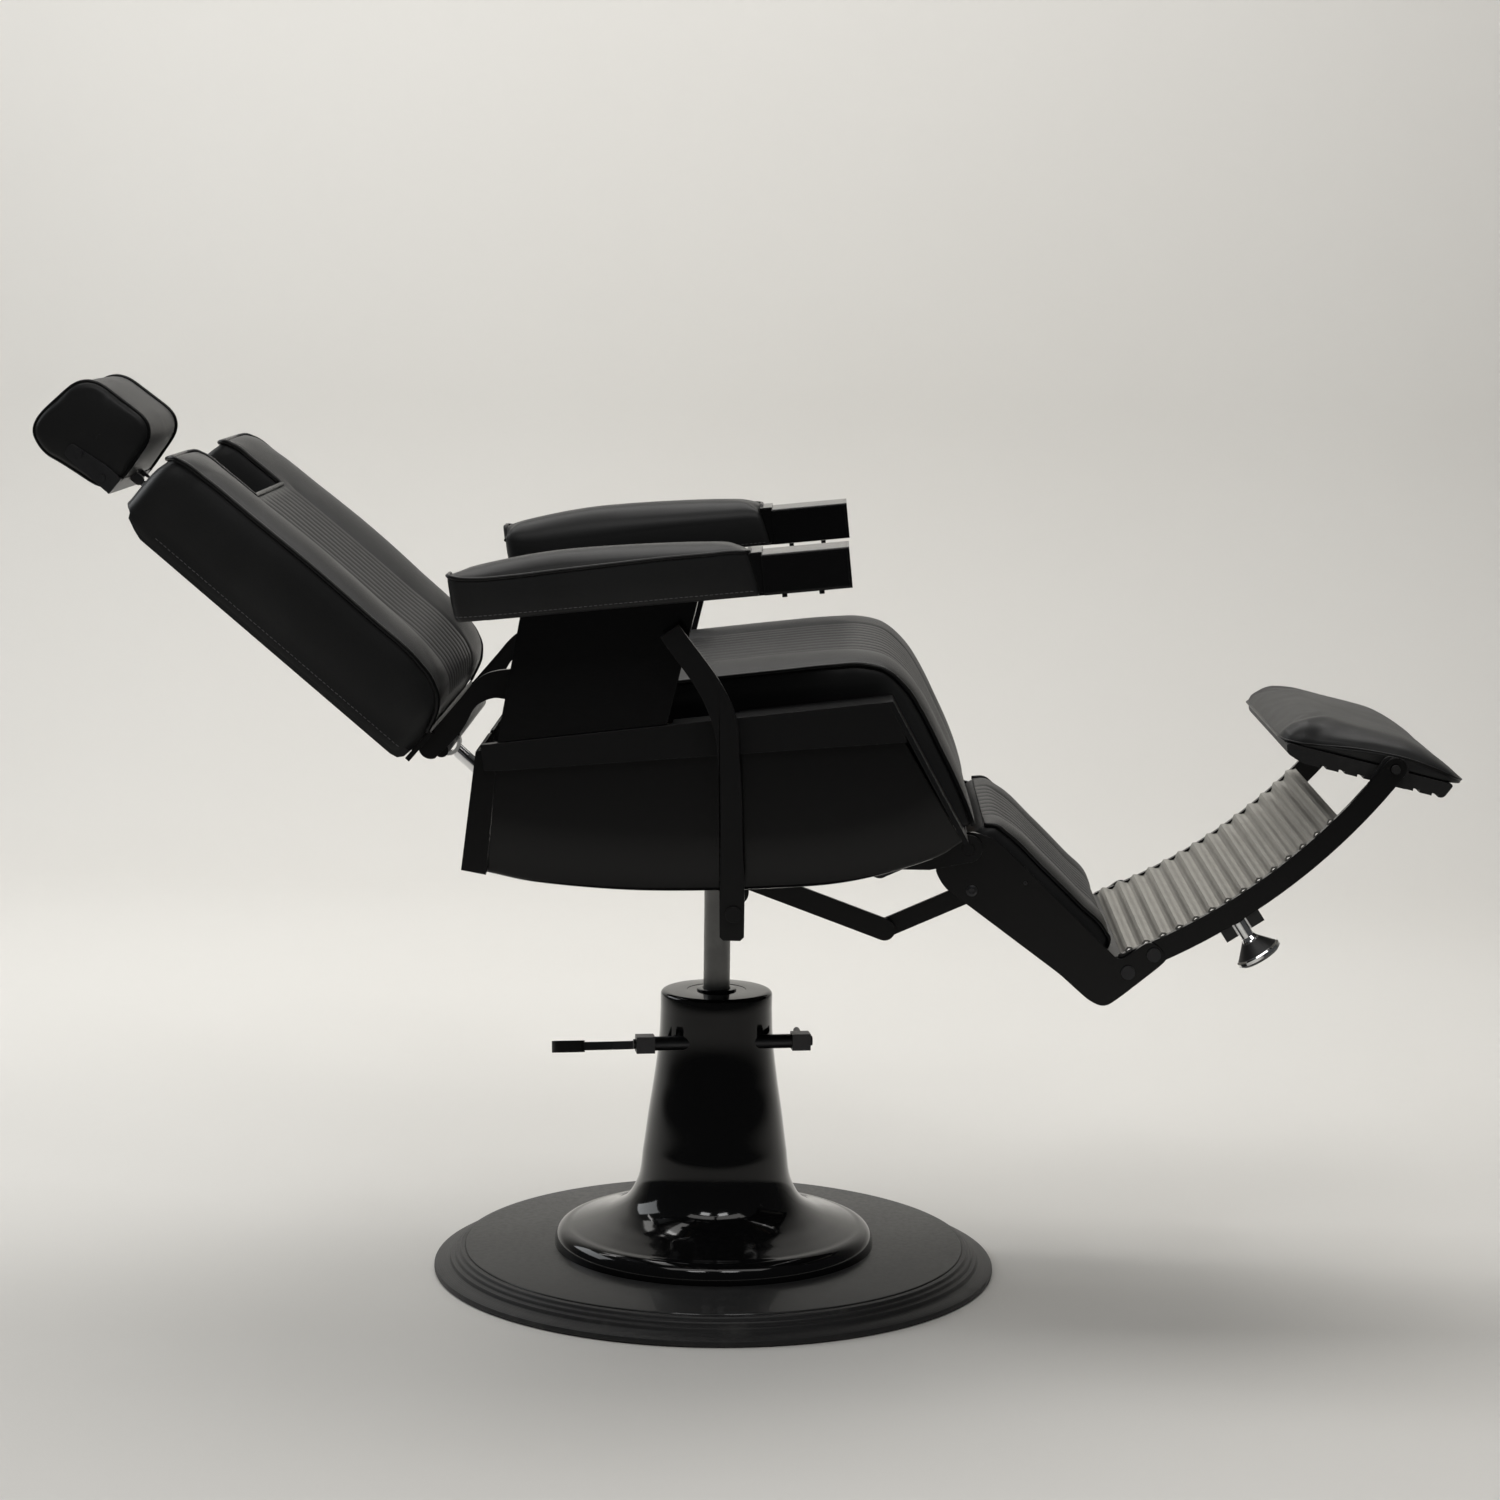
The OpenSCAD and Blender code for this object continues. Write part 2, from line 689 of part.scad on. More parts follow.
// side plate of the far side; the near one also carries the recline lever's axle
module frame_side(lever) {
    difference() {
        union() {
            slab(side_in, side_out) {
                side_outline();
                translate(back_pivot) circle(ear_r);
                translate(leg_pivot) circle(leg_lobe_r);
                translate(rocker_pivot) circle(rocker_boss_r);
                if (lever) {
                    translate(lever_pivot) circle(14);
                    translate(lever_pivot - [14, 0]) square([28, 34]);
                }
            }
            pin(rocker_pivot, rocker_boss_r, side_in, rocker_boss_out);
        }
        pin(back_pivot, back_shaft_r + fit, side_in - 1, side_out + 1);
        pin(leg_pivot, leg_pin_r + fit, side_in - 1, side_out + 1);
        pin(rocker_pivot, rocker_r + fit, side_in - 1, rocker_boss_out + 1);
        for (x = arm_tube_x) pin([x, arm_tube_z], tube_r + fit, side_in - 1, side_out + 1);
        if (lever) pin(lever_pivot, lever_axle_r + fit, side_in - 1, side_out + 1);
    }
}

module frame_side_right() {
    color(steel_black) on_pan() scale_side(-1) frame_side(true);
}

module frame_side_left() {
    color(steel_black) on_pan() frame_side(false);
}

// two tubes that carry the arm pillars, and the tube behind the seat's front board
module cross_tubes() {
    front = board_low + board_dir * -20 - board_normal * (board_t + gap + 10);
    color(steel_black) on_pan() {
        for (x = arm_tube_x) pin([x, arm_tube_z], tube_r, -post_in + gap, post_in - gap);
        pin(front, 10, -side_in + gap, side_in - gap);
    }
}

// plywood under the cushion, bent down at the front
module seat_board() {
    color([0.45, 0.33, 0.2]) on_pan() slab(-board_half, board_half)
        polygon([[board_rear, rail(board_rear) - rail_drop], board_bend, board_low,
            board_low - board_t * board_normal,
            board_bend - board_t * board_normal + board_t * 0.4 * board_dir,
            [board_bend[0] - board_t * 0.7, rail(board_bend[0] - board_t * 0.7) - rail_drop - board_t],
            [board_rear, rail(board_rear) - rail_drop - board_t]]);
}

// one ring of the seat cushion, standing on a foot point and leaning by a step
function seat_ring(foot, lean, crown) =
    let (h = norm(lean), d = lean / h)
    [for (p = cushion_section(seat_half, h, crown, 4, seat_ribs, 2.6))
        [foot[0] + d[0] * p[1], p[0], foot[1] + d[1] * p[1]]];

// sewn cushion with channels from back to front, falling over the front board
module seat_cushion() {
    up = [for (s = [[-172, 3, 0.88, 0], [-160, 0, 0.98, 4], [-120, -2, 1, 8], [-60, -3, 1, 9],
                    [10, -3, 1, 9], [80, -2, 1, 9], [135, 0, 1, 8], [163, 6, 0.97, 7]])
        seat_ring([s[0], rail(s[0]) - rail_drop + gap], seat_t * [s[1] / 49, s[2]], s[3])];
    over = [for (s = [[0, 12, 37, 6], [0.1, 26, 30, 5], [0.25, 31, 23, 5], [0.48, 33, 18, 4],
                      [0.7, 36, 14, 4], [0.88, 40, 8, 3], [0.985, 43, 3, 1]])
        seat_ring(board_bend + (board_low - board_bend) * s[0] + gap * board_normal,
            seat_t / 49 * [s[1], s[2]], s[3])];
    color(vinyl) on_pan() skin(concat(up, over));
}

// section of a housing shell: tall wall with its foot turned in
function tub_ring(low, high) =
    let (h = norm(high - low), d = (high - low) / h)
    [for (p = [[tub_in, h], [tub_in, 14], [tub_in - 2, 9], [tub_in - 7, 6], [tub_in - 14, shell_t],
               [lip_in, shell_t], [lip_in, 0], [tub_out - 14, 0], [tub_out - 6, 2], [tub_out - 2, 6],
               [tub_out, 14], [tub_out, h]])
        [low[0] + d[0] * p[1], p[0], low[1] + d[1] * p[1]]];

// moulded side shell of the housing
module housing_shell() {
    keys = smooth([tub_rear_low + [gap, 0], [-190, -19], [-78, -26], [56, -22], [157, -12], [246, 14],
        front_low - front_normal * (rail_t + gap)], 3);
    n = len(keys) - 1;
    top_rear = tub_rear_top[0] + gap;
    top_front = front_top[0] - rail_t - 3;
    skin([for (i = [0 : n])
        let (x = top_rear + (top_front - top_rear) * i / n)
        tub_ring(keys[i], [x, rail(x) - ledge_t - 1.5])]);
}

module housing_right() {
    color(gloss_black) on_pan() scale_side(-1) housing_shell();
}

module housing_left() {
    color(gloss_black) on_pan() housing_shell();
}

// cap over the housing's rear end, with the slot that the recline rod swings in
module rear_cap() {
    side = tub_out;
    color(gloss_black) on_pan() difference() {
        slab(-side, side) polygon([[-262, 131], [-278, -3], tub_rear_low, tub_rear_top]);
        slab(-tub_in, tub_in) polygon([[-262 + cap_wall, 150], [-278 + cap_wall, cap_wall - 3],
            [-230, cap_wall - 9], [-220, 150]]);
        translate([-300, cylinder_y - rod_r - 4, 58]) cube([60, 2 * rod_r + 8, 120]);
    }
}

// rail round the top of a housing shell, with its ledge and the trim down the front edge
module belt_rail() {
    on_rail_x = front_top[0] / cos(rail_slope) - 1;
    difference() {
        union() {
            on_rail() {
                slab(rail_out - rail_t, rail_out) polygon([[rail_rear, 0], [on_rail_x, 0],
                    [on_rail_x + skirt_front * 0.26, -skirt_front], [rail_rear + 20, -skirt_rear],
                    [rail_rear + 1, -skirt_rear + 2]]);
                slab(foot_out + gap, rail_out) polygon([[rail_rear, -ledge_t], [rail_rear, 0],
                    [on_rail_x, 0], [on_rail_x, -ledge_t]]);
                slab(post_in - 2, rail_out) polygon([[-44, -ledge_t], [-44, 0], [on_rail_x, 0],
                    [on_rail_x, -ledge_t]]);
                slab(trim_in, rail_out) polygon([[30, -ledge_t], [30, 0], [on_rail_x, 0],
                    [on_rail_x, -ledge_t]]);
            }
            on_pan() slab(trim_in - 0.6, rail_out + 0.4) polygon([front_top, front_low,
                front_low - front_normal * rail_t, front_top - front_normal * rail_t]);
        }
    }
}

module belt_rail_right() {
    color(steel_black) scale_side(-1) belt_rail();
}

module belt_rail_left() {
    color(steel_black) belt_rail();
}

// ---- arms ----

// casting from the housing up to the arm, its foot inside the housing
module arm_pillar() {
    rear = [-212, arm_origin[1] - tan(arm_slope) * (arm_origin[0] + 212) - gap];
    front = [-15, arm_origin[1] - tan(arm_slope) * (arm_origin[0] + 15) - gap];
    difference() {
        union() {
            slab(post_in, post_out) polygon([[-238, rail(-238) + gap], rear, front, [-49, rail(-49) + gap]]);
            slab(post_in, foot_out) polygon([[-238, rail(-238) + 2], [-49, rail(-49) + 2], [-66, 84], [-224, 84]]);
        }
        pin(back_pivot, back_shaft_r + fit, post_in - 1, back_shaft_end + gap);
    }
}

module arm_pillar_right() {
    color(gloss_black) on_pan() scale_side(-1) arm_pillar();
}

module arm_pillar_left() {
    color(gloss_black) on_pan() arm_pillar();
}

// hollow front box with the spigot and spine that carry the pad
module arm_box() {
    half = arm_half - 0.5;
    difference() {
        translate([0, arm_mid, 0]) rotate([90, 0, 90]) translate([0, 0, -arm_box_l])
            linear_extrude(arm_box_l - box_wall) polygon(rounded([[-half, 0], [half, 0], [half, arm_box_h],
                [-half, arm_box_h]], 3));
        translate([-arm_box_l + box_wall, arm_mid - half + box_wall, box_wall])
            cube([arm_box_l, 2 * (half - box_wall), arm_box_h - 2 * box_wall]);
    }
    translate([spigot_rear, arm_mid - spigot_half, 0])
        cube([-arm_box_l - spigot_rear, 2 * spigot_half, spigot_h]);
    translate([spine_rear, spine_in, 0]) cube([spigot_rear - spine_rear, spine_out - spine_in, spine_t]);
    for (x = [-75, -34]) translate([x, arm_mid, -7]) cylinder(h = 7, r = peg_r);
}

module arm_box_right() {
    color(gloss_black) on_arm(-1) arm_box();
}

module arm_box_left() {
    color(gloss_black) on_arm(1) arm_box();
}

// moulded caps in the fronts of the two boxes
module arm_end_caps() {
    half = arm_half - 0.5;
    color(steel_black) for (side = [-1, 1]) on_arm(side) {
        translate([0, arm_mid, 0]) rotate([90, 0, 90]) translate([0, 0, -box_wall])
            linear_extrude(box_wall) polygon(rounded([[-half, 0], [half, 0], [half, arm_box_h],
                [-half, arm_box_h]], 3));
        translate([-12, arm_mid - half + box_wall + gap, box_wall + gap])
            cube([12 - box_wall, 2 * (half - box_wall - gap), arm_box_h - 2 * (box_wall + gap)]);
    }
}

// one ring of an arm pad at a distance behind its front, with a share of its width and height
function arm_ring(run, width, height, crown) =
    [for (p = cushion_section(arm_half * width, arm_pad_h * height, crown, 1.5, 0, 0))
        [-arm_box_l - run - 0.21 * (p[1] - 2) * (run < 60 ? 1 : 0.3), arm_mid + p[0], p[1]]];

// padded arm, wider and fuller in the middle
module arm_pad() {
    difference() {
        skin([for (s = [[1, 0.66, 0.93, 0], [0.985, 0.8, 0.97, 3], [0.95, 0.9, 0.99, 8], [0.85, 0.97, 1, 12],
                        [0.7, 1, 1.02, 14], [0.5, 1, 1.03, 15], [0.3, 1, 1.03, 13], [0.13, 1, 1.01, 10],
                        [0.04, 1, 1, 7], [0.01, 0.985, 0.97, 3]])
            arm_ring(arm_pad_l * s[0], s[1], s[2], s[3])]);
        slab(spine_in - gap, spine_out + gap) polygon([[spine_rear - gap, -5], [20, -5],
            [20, spigot_h + gap], [spigot_rear - gap, spigot_h + gap], [spigot_rear - gap, spine_t + gap],
            [spine_rear - gap, spine_t + gap]]);
    }
}

module arm_pad_right() {
    color(vinyl) on_arm(-1) arm_pad();
}

module arm_pad_left() {
    color(vinyl) on_arm(1) arm_pad();
}

// headed pins that the legrest turns on
module pivot_pins() {
    color(grey_metal) on_pan() both_sides() {
        pin(leg_pivot, leg_pin_r, leg_in - gap, side_out + 1);
        pin(leg_pivot, leg_pin_r + 3, leg_in - gap - 3, leg_in - gap);
    }
}

// ---- recline cylinder ----

// cross member with the two ears of the cylinder's lower pin
module cylinder_bracket() {
    color(steel_black) on_pan() difference() {
        union() {
            slab(-side_in, side_in) polygon([[bracket_x, -20], [bracket_x + 24, -20], [bracket_x + 24, 4],
                [bracket_x, 4]]);
            for (y = [cylinder_y - 16, cylinder_y + 11]) slab(y, y + 5) {
                translate(cylinder_pin) circle(11);
                translate(cylinder_pin + [0, -11]) square([20, 20]);
            }
            pin(cylinder_pin, 6, cylinder_y - 16, cylinder_y + 16);
        }
    }
}

// frame of the recline cylinder, X from its lower pin towards the backrest
module on_cylinder() {
    on_pan() translate([cylinder_pin[0], cylinder_y, cylinder_pin[1]]) rotate([0, -cylinder_turn, 0]) children();
}

// barrel with the eye of its lower pin
module cylinder_barrel() {
    color(steel_black) on_cylinder() difference() {
        union() {
            translate([0, 10, 0]) rotate([90, 0, 0]) cylinder(h = 20, r = 11);
            translate([8, 0, 0]) rotate([0, 90, 0]) cylinder(h = 6, r = 9.5);
            translate([12.5, 0, 0]) rotate([0, 90, 0]) cylinder(h = barrel_l - 12.5, r = barrel_r);
        }
        translate([0, 11, 0]) rotate([90, 0, 0]) cylinder(h = 22, r = 6 + fit);
        translate([16, 0, 0]) rotate([0, 90, 0]) cylinder(h = barrel_l, r = rod_r + fit);
    }
}

// bright rod with the eye round the backrest's cross bar
module recline_rod() {
    color(bright) on_cylinder() difference() {
        union() {
            translate([18, 0, 0]) rotate([0, 90, 0]) cylinder(h = cylinder_l - 18, r = rod_r);
            translate([cylinder_l, 8, 0]) rotate([90, 0, 0]) cylinder(h = 16, r = rod_eye_r);
        }
        translate([cylinder_l, 9, 0]) rotate([90, 0, 0]) cylinder(h = 18, r = bar_r + rod_eye_play);
    }
}

// ---- recline lever ----

// flat bar cranked forward at the arm's height
module recline_lever() {
    path = [[-53, 282], [4, 202], [14, 175], [21, 86], lever_pivot - [0, 30]];
    color(steel_black) on_pan() difference() {
        slab(lever_y, lever_y + lever_t) polygon(rounded(band(path, lever_w), 13));
        pin(lever_pivot, lever_axle_r + fit, lever_y - 1, lever_y + lever_t + 1);
    }
}

// axle from the near side plate out to the lever, with its screw head
module lever_axle() {
    color(grey_metal) on_pan() {
        pin(lever_pivot, lever_axle_r, lever_y - 1, -side_in);
        pin(lever_pivot, lever_axle_r + 3, lever_y - 4, lever_y - 1);
    }
}

// ---- backrest ----

// arched neck from the recline shaft to the backrest's end
module back_neck() {
    upper = smooth([back_pivot + [0, 20], back_pivot + [-40, 16], back_pivot + [-63, 13],
        back_pivot + [-85, -1], back_pivot + [-97, -14], back_pivot + [-122, -56]], 2);
    lower = smooth([bar_world + [12, 6], [-298, 133], [-276, 162], [-259, 177], [-236, 181],
        back_pivot + [0, -20]], 2);
    difference() {
        on_pan() slab(neck_in, neck_in + neck_t) {
            polygon(concat(upper, lower));
            translate(back_pivot) circle(ear_r);
            translate(bar_world) circle(bar_r + 5.5);
        }
        on_back() translate([-40, neck_in - 1, end_plate[0]]) cube([120, neck_t + 2, 80]);
        on_pan() pin(back_pivot, back_shaft_r, neck_in - 1, neck_in + neck_t + 1);
    }
}

module back_neck_right() {
    color(gloss_black) scale_side(-1) back_neck();
}

module back_neck_left() {
    color(gloss_black) back_neck();
}

// half shafts of the recline pivot with the cranks of the sync links
module recline_shaft() {
    color(grey_metal) on_pan() both_sides() {
        pin(back_pivot, back_shaft_r, leg_out - 4, back_shaft_end);
        slab(rocker_out, rocker_out + link_t) {
            bar_outline(back_pivot, sync_rear, 22);
            translate(back_pivot) circle(14);
        }
        pin(sync_rear, link_pin_r, rocker_out, sync_in + sync_t + gap + 2);
        pin(sync_rear, link_pin_r + 4.5, sync_in + sync_t + gap, sync_in + sync_t + gap + 2);
    }
}

// steel plate behind the cushion with the end plate and cross bar of the necks
module back_frame() {
    color(steel_black) on_back() {
        slab(-end_plate_half, end_plate_half) polygon([[2, end_plate[0]], [44, end_plate[0]],
            [44, end_plate[1]], [2, end_plate[1]]]);
        difference() {
            slab(-end_plate_half, end_plate_half) polygon([[shell_front + gap, end_plate[1]],
                [frame_front, end_plate[1]], [frame_front, back_l - 20], [shell_front + gap, back_l - 20]]);
            translate([0, -notch_w / 2 - 3, back_l - notch_l - 3]) cube([40, notch_w + 6, 200]);
        }
        pin(bar_pos, bar_r, -neck_in, neck_in);
    }
}

// moulded rear cover with the channel of the headrest's post
module back_shell() {
    half = back_w / 2 - 5;
    color(vinyl) on_back() difference() {
        slab(-half, half) polygon([[shell_front, -3], [6, -2], [0, 3], [shell_rear, 12],
            [shell_rear, back_l - 36], [2, back_l - 24], [8, shell_top - 3], [shell_front, shell_top]]);
        translate([0.3, -slot_half, 40]) cube([shell_front, 2 * slot_half, back_l]);
        translate([shell_rear - 1, -notch_w / 2, back_l - notch_l]) cube([40, notch_w, notch_l + 10]);
    }
}

// one ring of the backrest cushion at a height up the back
function back_ring(up, depth, crown, half) =
    [for (p = cushion_section(half, back_t * depth, crown, 5, back_ribs, 2.8))
        [pad_rear + p[1], -p[0], up]];

// sewn cushion with channels up the back and the notch for the headrest
module back_cushion() {
    half = back_w / 2 - 5;
    color(vinyl) on_back() difference() {
        skin([for (s = [[-3, 0.3, 0, 0.97], [3, 0.58, 1, 0.99], [12, 0.76, 2, 1], [28, 0.89, 3, 1],
                        [55, 0.97, 4, 1], [130, 1, 6, 1], [215, 1.01, 7, 1], [300, 0.99, 6, 1],
                        [back_l - 46, 0.97, 4, 1], [back_l - 14, 0.93, 2, 1],
                        [back_l - 4, 0.87, 1, 0.99], [back_l, 0.74, 0, 0.97]])
            back_ring(s[0], s[1], s[2], half * s[3])], 0.5, 2);
        translate([0, -notch_w / 2, back_l - notch_l]) cube([200, notch_w, notch_l + 10]);
    }
}

// guide that the headrest's post slides in
module headrest_sleeve() {
    color(grey_metal) on_back() difference() {
        translate([0.5, -post_w / 2 - 4, sleeve_low])
            cube([shell_front - 1, post_w + 8, sleeve_high - sleeve_low]);
        translate([post_mid - post_t / 2 - gap, -post_w / 2 - 0.5, sleeve_low - 1])
            cube([post_t + 2 * gap, post_w + 1, sleeve_high - sleeve_low + 2]);
    }
}

// flat post of the headrest, round at its tilt pin
module headrest_post() {
    color(bright) on_back() difference() {
        union() {
            translate([post_mid - post_t / 2, -post_w / 2, post_low])
                cube([post_t, post_w, tilt_pos[1] - post_low]);
            pin(tilt_pos, post_t / 2, -post_w / 2, post_w / 2);
        }
        pin(tilt_pos, tilt_pin_r + fit, -post_w, post_w);
    }
}

// bracket on the tilt pin with an ear on each side of the headrest
module headrest_bracket() {
    base = head_low - 4;
    color(steel_black) on_back() difference() {
        union() {
            slab(-head_half - gap - ear_t, head_half + gap + ear_t) polygon([[-15, base], [8, base],
                [8, base + 3], [-15, base + 3]]);
            both_sides() slab(head_half + gap, head_half + gap + ear_t)
                polygon(rounded([[-15, base], [8, base], [9, base + 20], [2, base + 72], [-14, base + 70]], 6));
            both_sides() slab(post_w / 2 + gap, post_w / 2 + gap + 4) {
                translate(tilt_pos) circle(6);
                translate(tilt_pos + [-6, 0]) square([12, base + 1 - tilt_pos[1]]);
            }
            pin(tilt_pos, tilt_pin_r, -post_w / 2 - 4, post_w / 2 + 4);
        }
    }
}

// ring of the headrest: its side outline, drawn in towards an end
function head_ring(y, share) =
    let (mid = [25, head_low + 57],
         outline = rounded([[-12, head_low], [76, head_low + 8], [70, head_low + 103], [-12, head_low + 114],
             [-25, head_low + 85], [-19, head_low + 60]], 18))
    [for (i = [len(outline) - 1 : -1 : 0]) let (p = mid + (outline[i] - mid) * share) [p[0], y, p[1]]];

// bolster with a seam near each end
module headrest_pad() {
    color(vinyl) on_back() skin([for (s = [[-1, 0.9], [-0.975, 0.955], [-0.93, 0.985], [-0.9, 0.975], [-0.6, 1],
                                         [0, 1.015], [0.6, 1], [0.9, 0.975], [0.93, 0.985], [0.975, 0.955],
                                         [1, 0.9]])
        head_ring(head_half * s[0], s[1])]);
}

// screws through the bracket's ears
module headrest_screws() {
    color(bright) on_back() both_sides()
        for (p = [[-2, head_low + 52], [-6, head_low + 14]]) {
            pin(p, 4.5, head_half + gap + ear_t, head_half + gap + ear_t + 2.2);
        }
}

// ---- linkage ----

// rocker under the seat: an arm to each push link inside and to each sync link outside
module sync_rocker() {
    color(steel_black) on_pan() both_sides() {
        pin(rocker_pivot, rocker_r, leg_in, rocker_out + link_t);
        slab(leg_in, leg_out) {
            bar_outline(rocker_pivot, push_rear, 25);
            translate(rocker_pivot) circle(17);
        }
        slab(rocker_out, rocker_out + link_t) {
            bar_outline(rocker_pivot, sync_front, 18);
            translate(rocker_pivot) circle(16);
        }
        pin(push_rear, link_pin_r, head_out, leg_in);
        pin(push_rear, link_pin_r + 3, head_out - 2.4, head_out);
        pin(sync_front, link_pin_r, rocker_out, sync_in + sync_t + gap + 2);
        pin(sync_front, link_pin_r + 3, sync_in + sync_t + gap, sync_in + sync_t + gap + 2);
    }
}

// slim links from the rocker to the cranks on the recline shaft
module sync_links() {
    color(steel_black) on_pan() both_sides() difference() {
        slab(sync_in, sync_in + sync_t) {
            bar_outline(sync_front, sync_rear, 14);
            translate(sync_front) circle(10);
            translate(sync_rear) circle(11);
        }
        pin(sync_front, link_pin_r + fit, sync_in - 1, sync_in + sync_t + 1);
        pin(sync_rear, link_pin_r + 2, sync_in - 1, sync_in + sync_t + 1);
    }
}

// links that push the legrest up
module push_links() {
    color(steel_black) on_pan() both_sides() difference() {
        slab(link_out - link_t, link_out) {
            bar_outline(push_rear, push_front, 22);
            translate(push_front) circle(14.5);
        }
        pin(push_rear, link_pin_r + fit, link_out - link_t - 1, link_out + 1);
        pin(push_front, link_pin_r + 4.5, link_out - link_t - 1, link_out + 1);
    }
}

// ---- legrest ----

// side plate of the legrest with the ear that the foot bar is bolted to
module legrest_plate() {
    on_leg() difference() {
        slab(leg_in, leg_out) polygon(rounded([[14, 14], [26, -8], [30, -21], [30, -217], [71, -223],
            [74, -238], [72, -253], [59, -253], [4, -247], [-20, -243], [-27, -225], [-29, -179],
            [-52, -12], [-44, 12], [-6, 16]], 10));
        pin([0, 0], leg_pin_r + fit, leg_in - 1, leg_out + 1);
        for (p = foot_bolts) pin(p, 4 + fit, leg_in - 1, leg_out + 1);
    }
}

module legrest_plate_right() {
    color(gloss_black) scale_side(-1) legrest_plate();
}

module legrest_plate_left() {
    color(gloss_black) legrest_plate();
}

// board under the calf pad with the two tubes that join the side plates
module legrest_frame() {
    color(steel_black) on_leg() {
        for (z = leg_tube_z) pin([leg_tube_x, z], leg_tube_r, -leg_in, leg_in);
        slab(-leg_in, leg_in) translate([leg_board_rear, calf_top - calf_l + 2])
            square([leg_board_t, calf_l - 22]);
    }
}

// one ring of the calf pad at a height up the leg
function calf_ring(up, depth, crown, half) =
    [for (p = cushion_section(half, calf_t * depth, crown, 2, calf_ribs, 2.4))
        [calf_rear + p[1], -p[0], up]];

// sewn pad with channels down the leg
module calf_pad() {
    low = calf_top - calf_l;
    color(vinyl) on_leg() skin([for (s = [[0, 0.62, 0, 0.97], [0.025, 0.85, 2, 0.99], [0.08, 0.97, 5, 1],
                                        [0.3, 1, 7, 1], [0.6, 1, 8, 1], [0.88, 0.98, 6, 1], [0.96, 0.9, 3, 0.99],
                                        [1, 0.7, 0, 0.97]])
        calf_ring(low + calf_l * s[0], s[1], s[2], calf_half * s[3])]);
}

// pie slice about the foot bars' centre
module foot_slice(a0, a1) {
    polygon([foot_centre, for (i = [0 : 4]) foot_centre
        + foot_r * 1.2 * [cos(a0 + (a1 - a0) * i / 4), sin(a0 + (a1 - a0) * i / 4)]]);
}

// curved flat bars from the legrest to the foot pad
module foot_bars() {
    start = foot_centre + foot_r * [cos(foot_a0), sin(foot_a0)];
    color(gloss_black) both_sides() difference() {
        on_pan() slab(leg_in - foot_bar_t, leg_in) {
            intersection() {
                difference() {
                    translate(foot_centre) circle(foot_r + foot_bar_h / 2, $fn = 128);
                    translate(foot_centre) circle(foot_r - foot_bar_h / 2, $fn = 128);
                }
                foot_slice(foot_a0, foot_a1);
            }
            translate(start) circle(foot_bar_h / 2);
            translate(foot_pivot) circle(foot_bar_h / 2);
        }
        on_pan() pin(foot_pivot, link_pin_r + fit, leg_in - foot_bar_t - 1, leg_in + 1);
        on_leg() for (p = foot_bolts) pin(p, 4 + fit, leg_in - foot_bar_t - 1, leg_in + 1);
    }
}

// corrugated sheet between the foot bars, waves running across
module kick_plate() {
    steps = kick_waves * 6;
    half = leg_in - foot_bar_t - gap;
    function wave(i, side) =
        let (a = kick_a0 + (kick_a1 - kick_a0) * i / steps,
             r = kick_r + kick_amp * cos(360 * i / 6) + side * kick_t / 2)
        foot_centre + r * [cos(a), sin(a)];
    color(grey_metal) on_pan() slab(-half, half)
        polygon(concat([for (i = [0 : steps]) wave(i, 1)], [for (i = [steps : -1 : 0]) wave(i, -1)]));
}

// bolts of the foot bars and of the push links
module legrest_bolts() {
    color(bright) {
        on_leg() both_sides() for (p = foot_bolts) {
            pin(p, 4, leg_in - foot_bar_t, leg_out);
            pin(p, 8, leg_out, leg_out + 3);
        }
        on_pan() both_sides() {
            pin(push_front, link_pin_r, head_out, leg_in);
            pin(push_front, 11, head_out - 3, head_out);
        }
    }
}

// stop under the near foot bar: bracket, stem and flared rubber cup
module bumper() {
    y = -leg_in + foot_bar_t / 2;
    seat = foot_centre + (foot_r + foot_bar_h / 2 + gap) * [cos(bumper_a), sin(bumper_a)];
    color(bright) on_pan() translate([seat[0], y, seat[1]]) rotate([0, 90 - bumper_a, 0]) {
        translate([-26, -2, 0]) cube([50, 4, 14]);
        cylinder(h = 22, r = 7.5);
        translate([0, 0, 20]) rotate_extrude() polygon([[0, 0], [8, 0], [10, 4], [24, 20], [27, 22], [27, 26],
            [23, 29], [0, 26]]);
    }
}

// ---- foot pad ----

// moulded tread on the pad's underside with the ears and trunnions that it flips on
module foot_shell() {
    ribs = 9;
    step = (foot_shell_front - foot_shell_rear) / ribs;
    color(rubber) on_foot() {
        difference() {
            slab(-foot_half, foot_half) polygon(rounded([[foot_shell_rear, -2], [foot_shell_rear + 4, -14],
                [foot_shell_rear + 24, -2 - foot_shell_h], [foot_shell_front - 8, -2 - foot_shell_h],
                [foot_shell_front, -2]], 5));
            for (i = [2 : ribs - 1]) translate([foot_shell_rear + i * step, -foot_half - 1, -4 - foot_shell_h])
                cube([step * 0.35, foot_pad_w + 2, 5]);
        }
        both_sides() {
            slab(foot_half, foot_half + 4.4) polygon(rounded([[-24, -2 - foot_shell_h], [24, -2 - foot_shell_h],
                [13, 12], [-13, 12]], 8));
            pin([0, 0], link_pin_r, foot_half, leg_out);
        }
    }
}

// one ring of the foot pad's cushion at a distance along it
function foot_ring(run, width, height, crown, base) =
    [for (p = cushion_section((foot_half - 1.5) * width, foot_pad_t * height, crown, 1, 0, 0))
        [run, p[0], base + p[1]]];

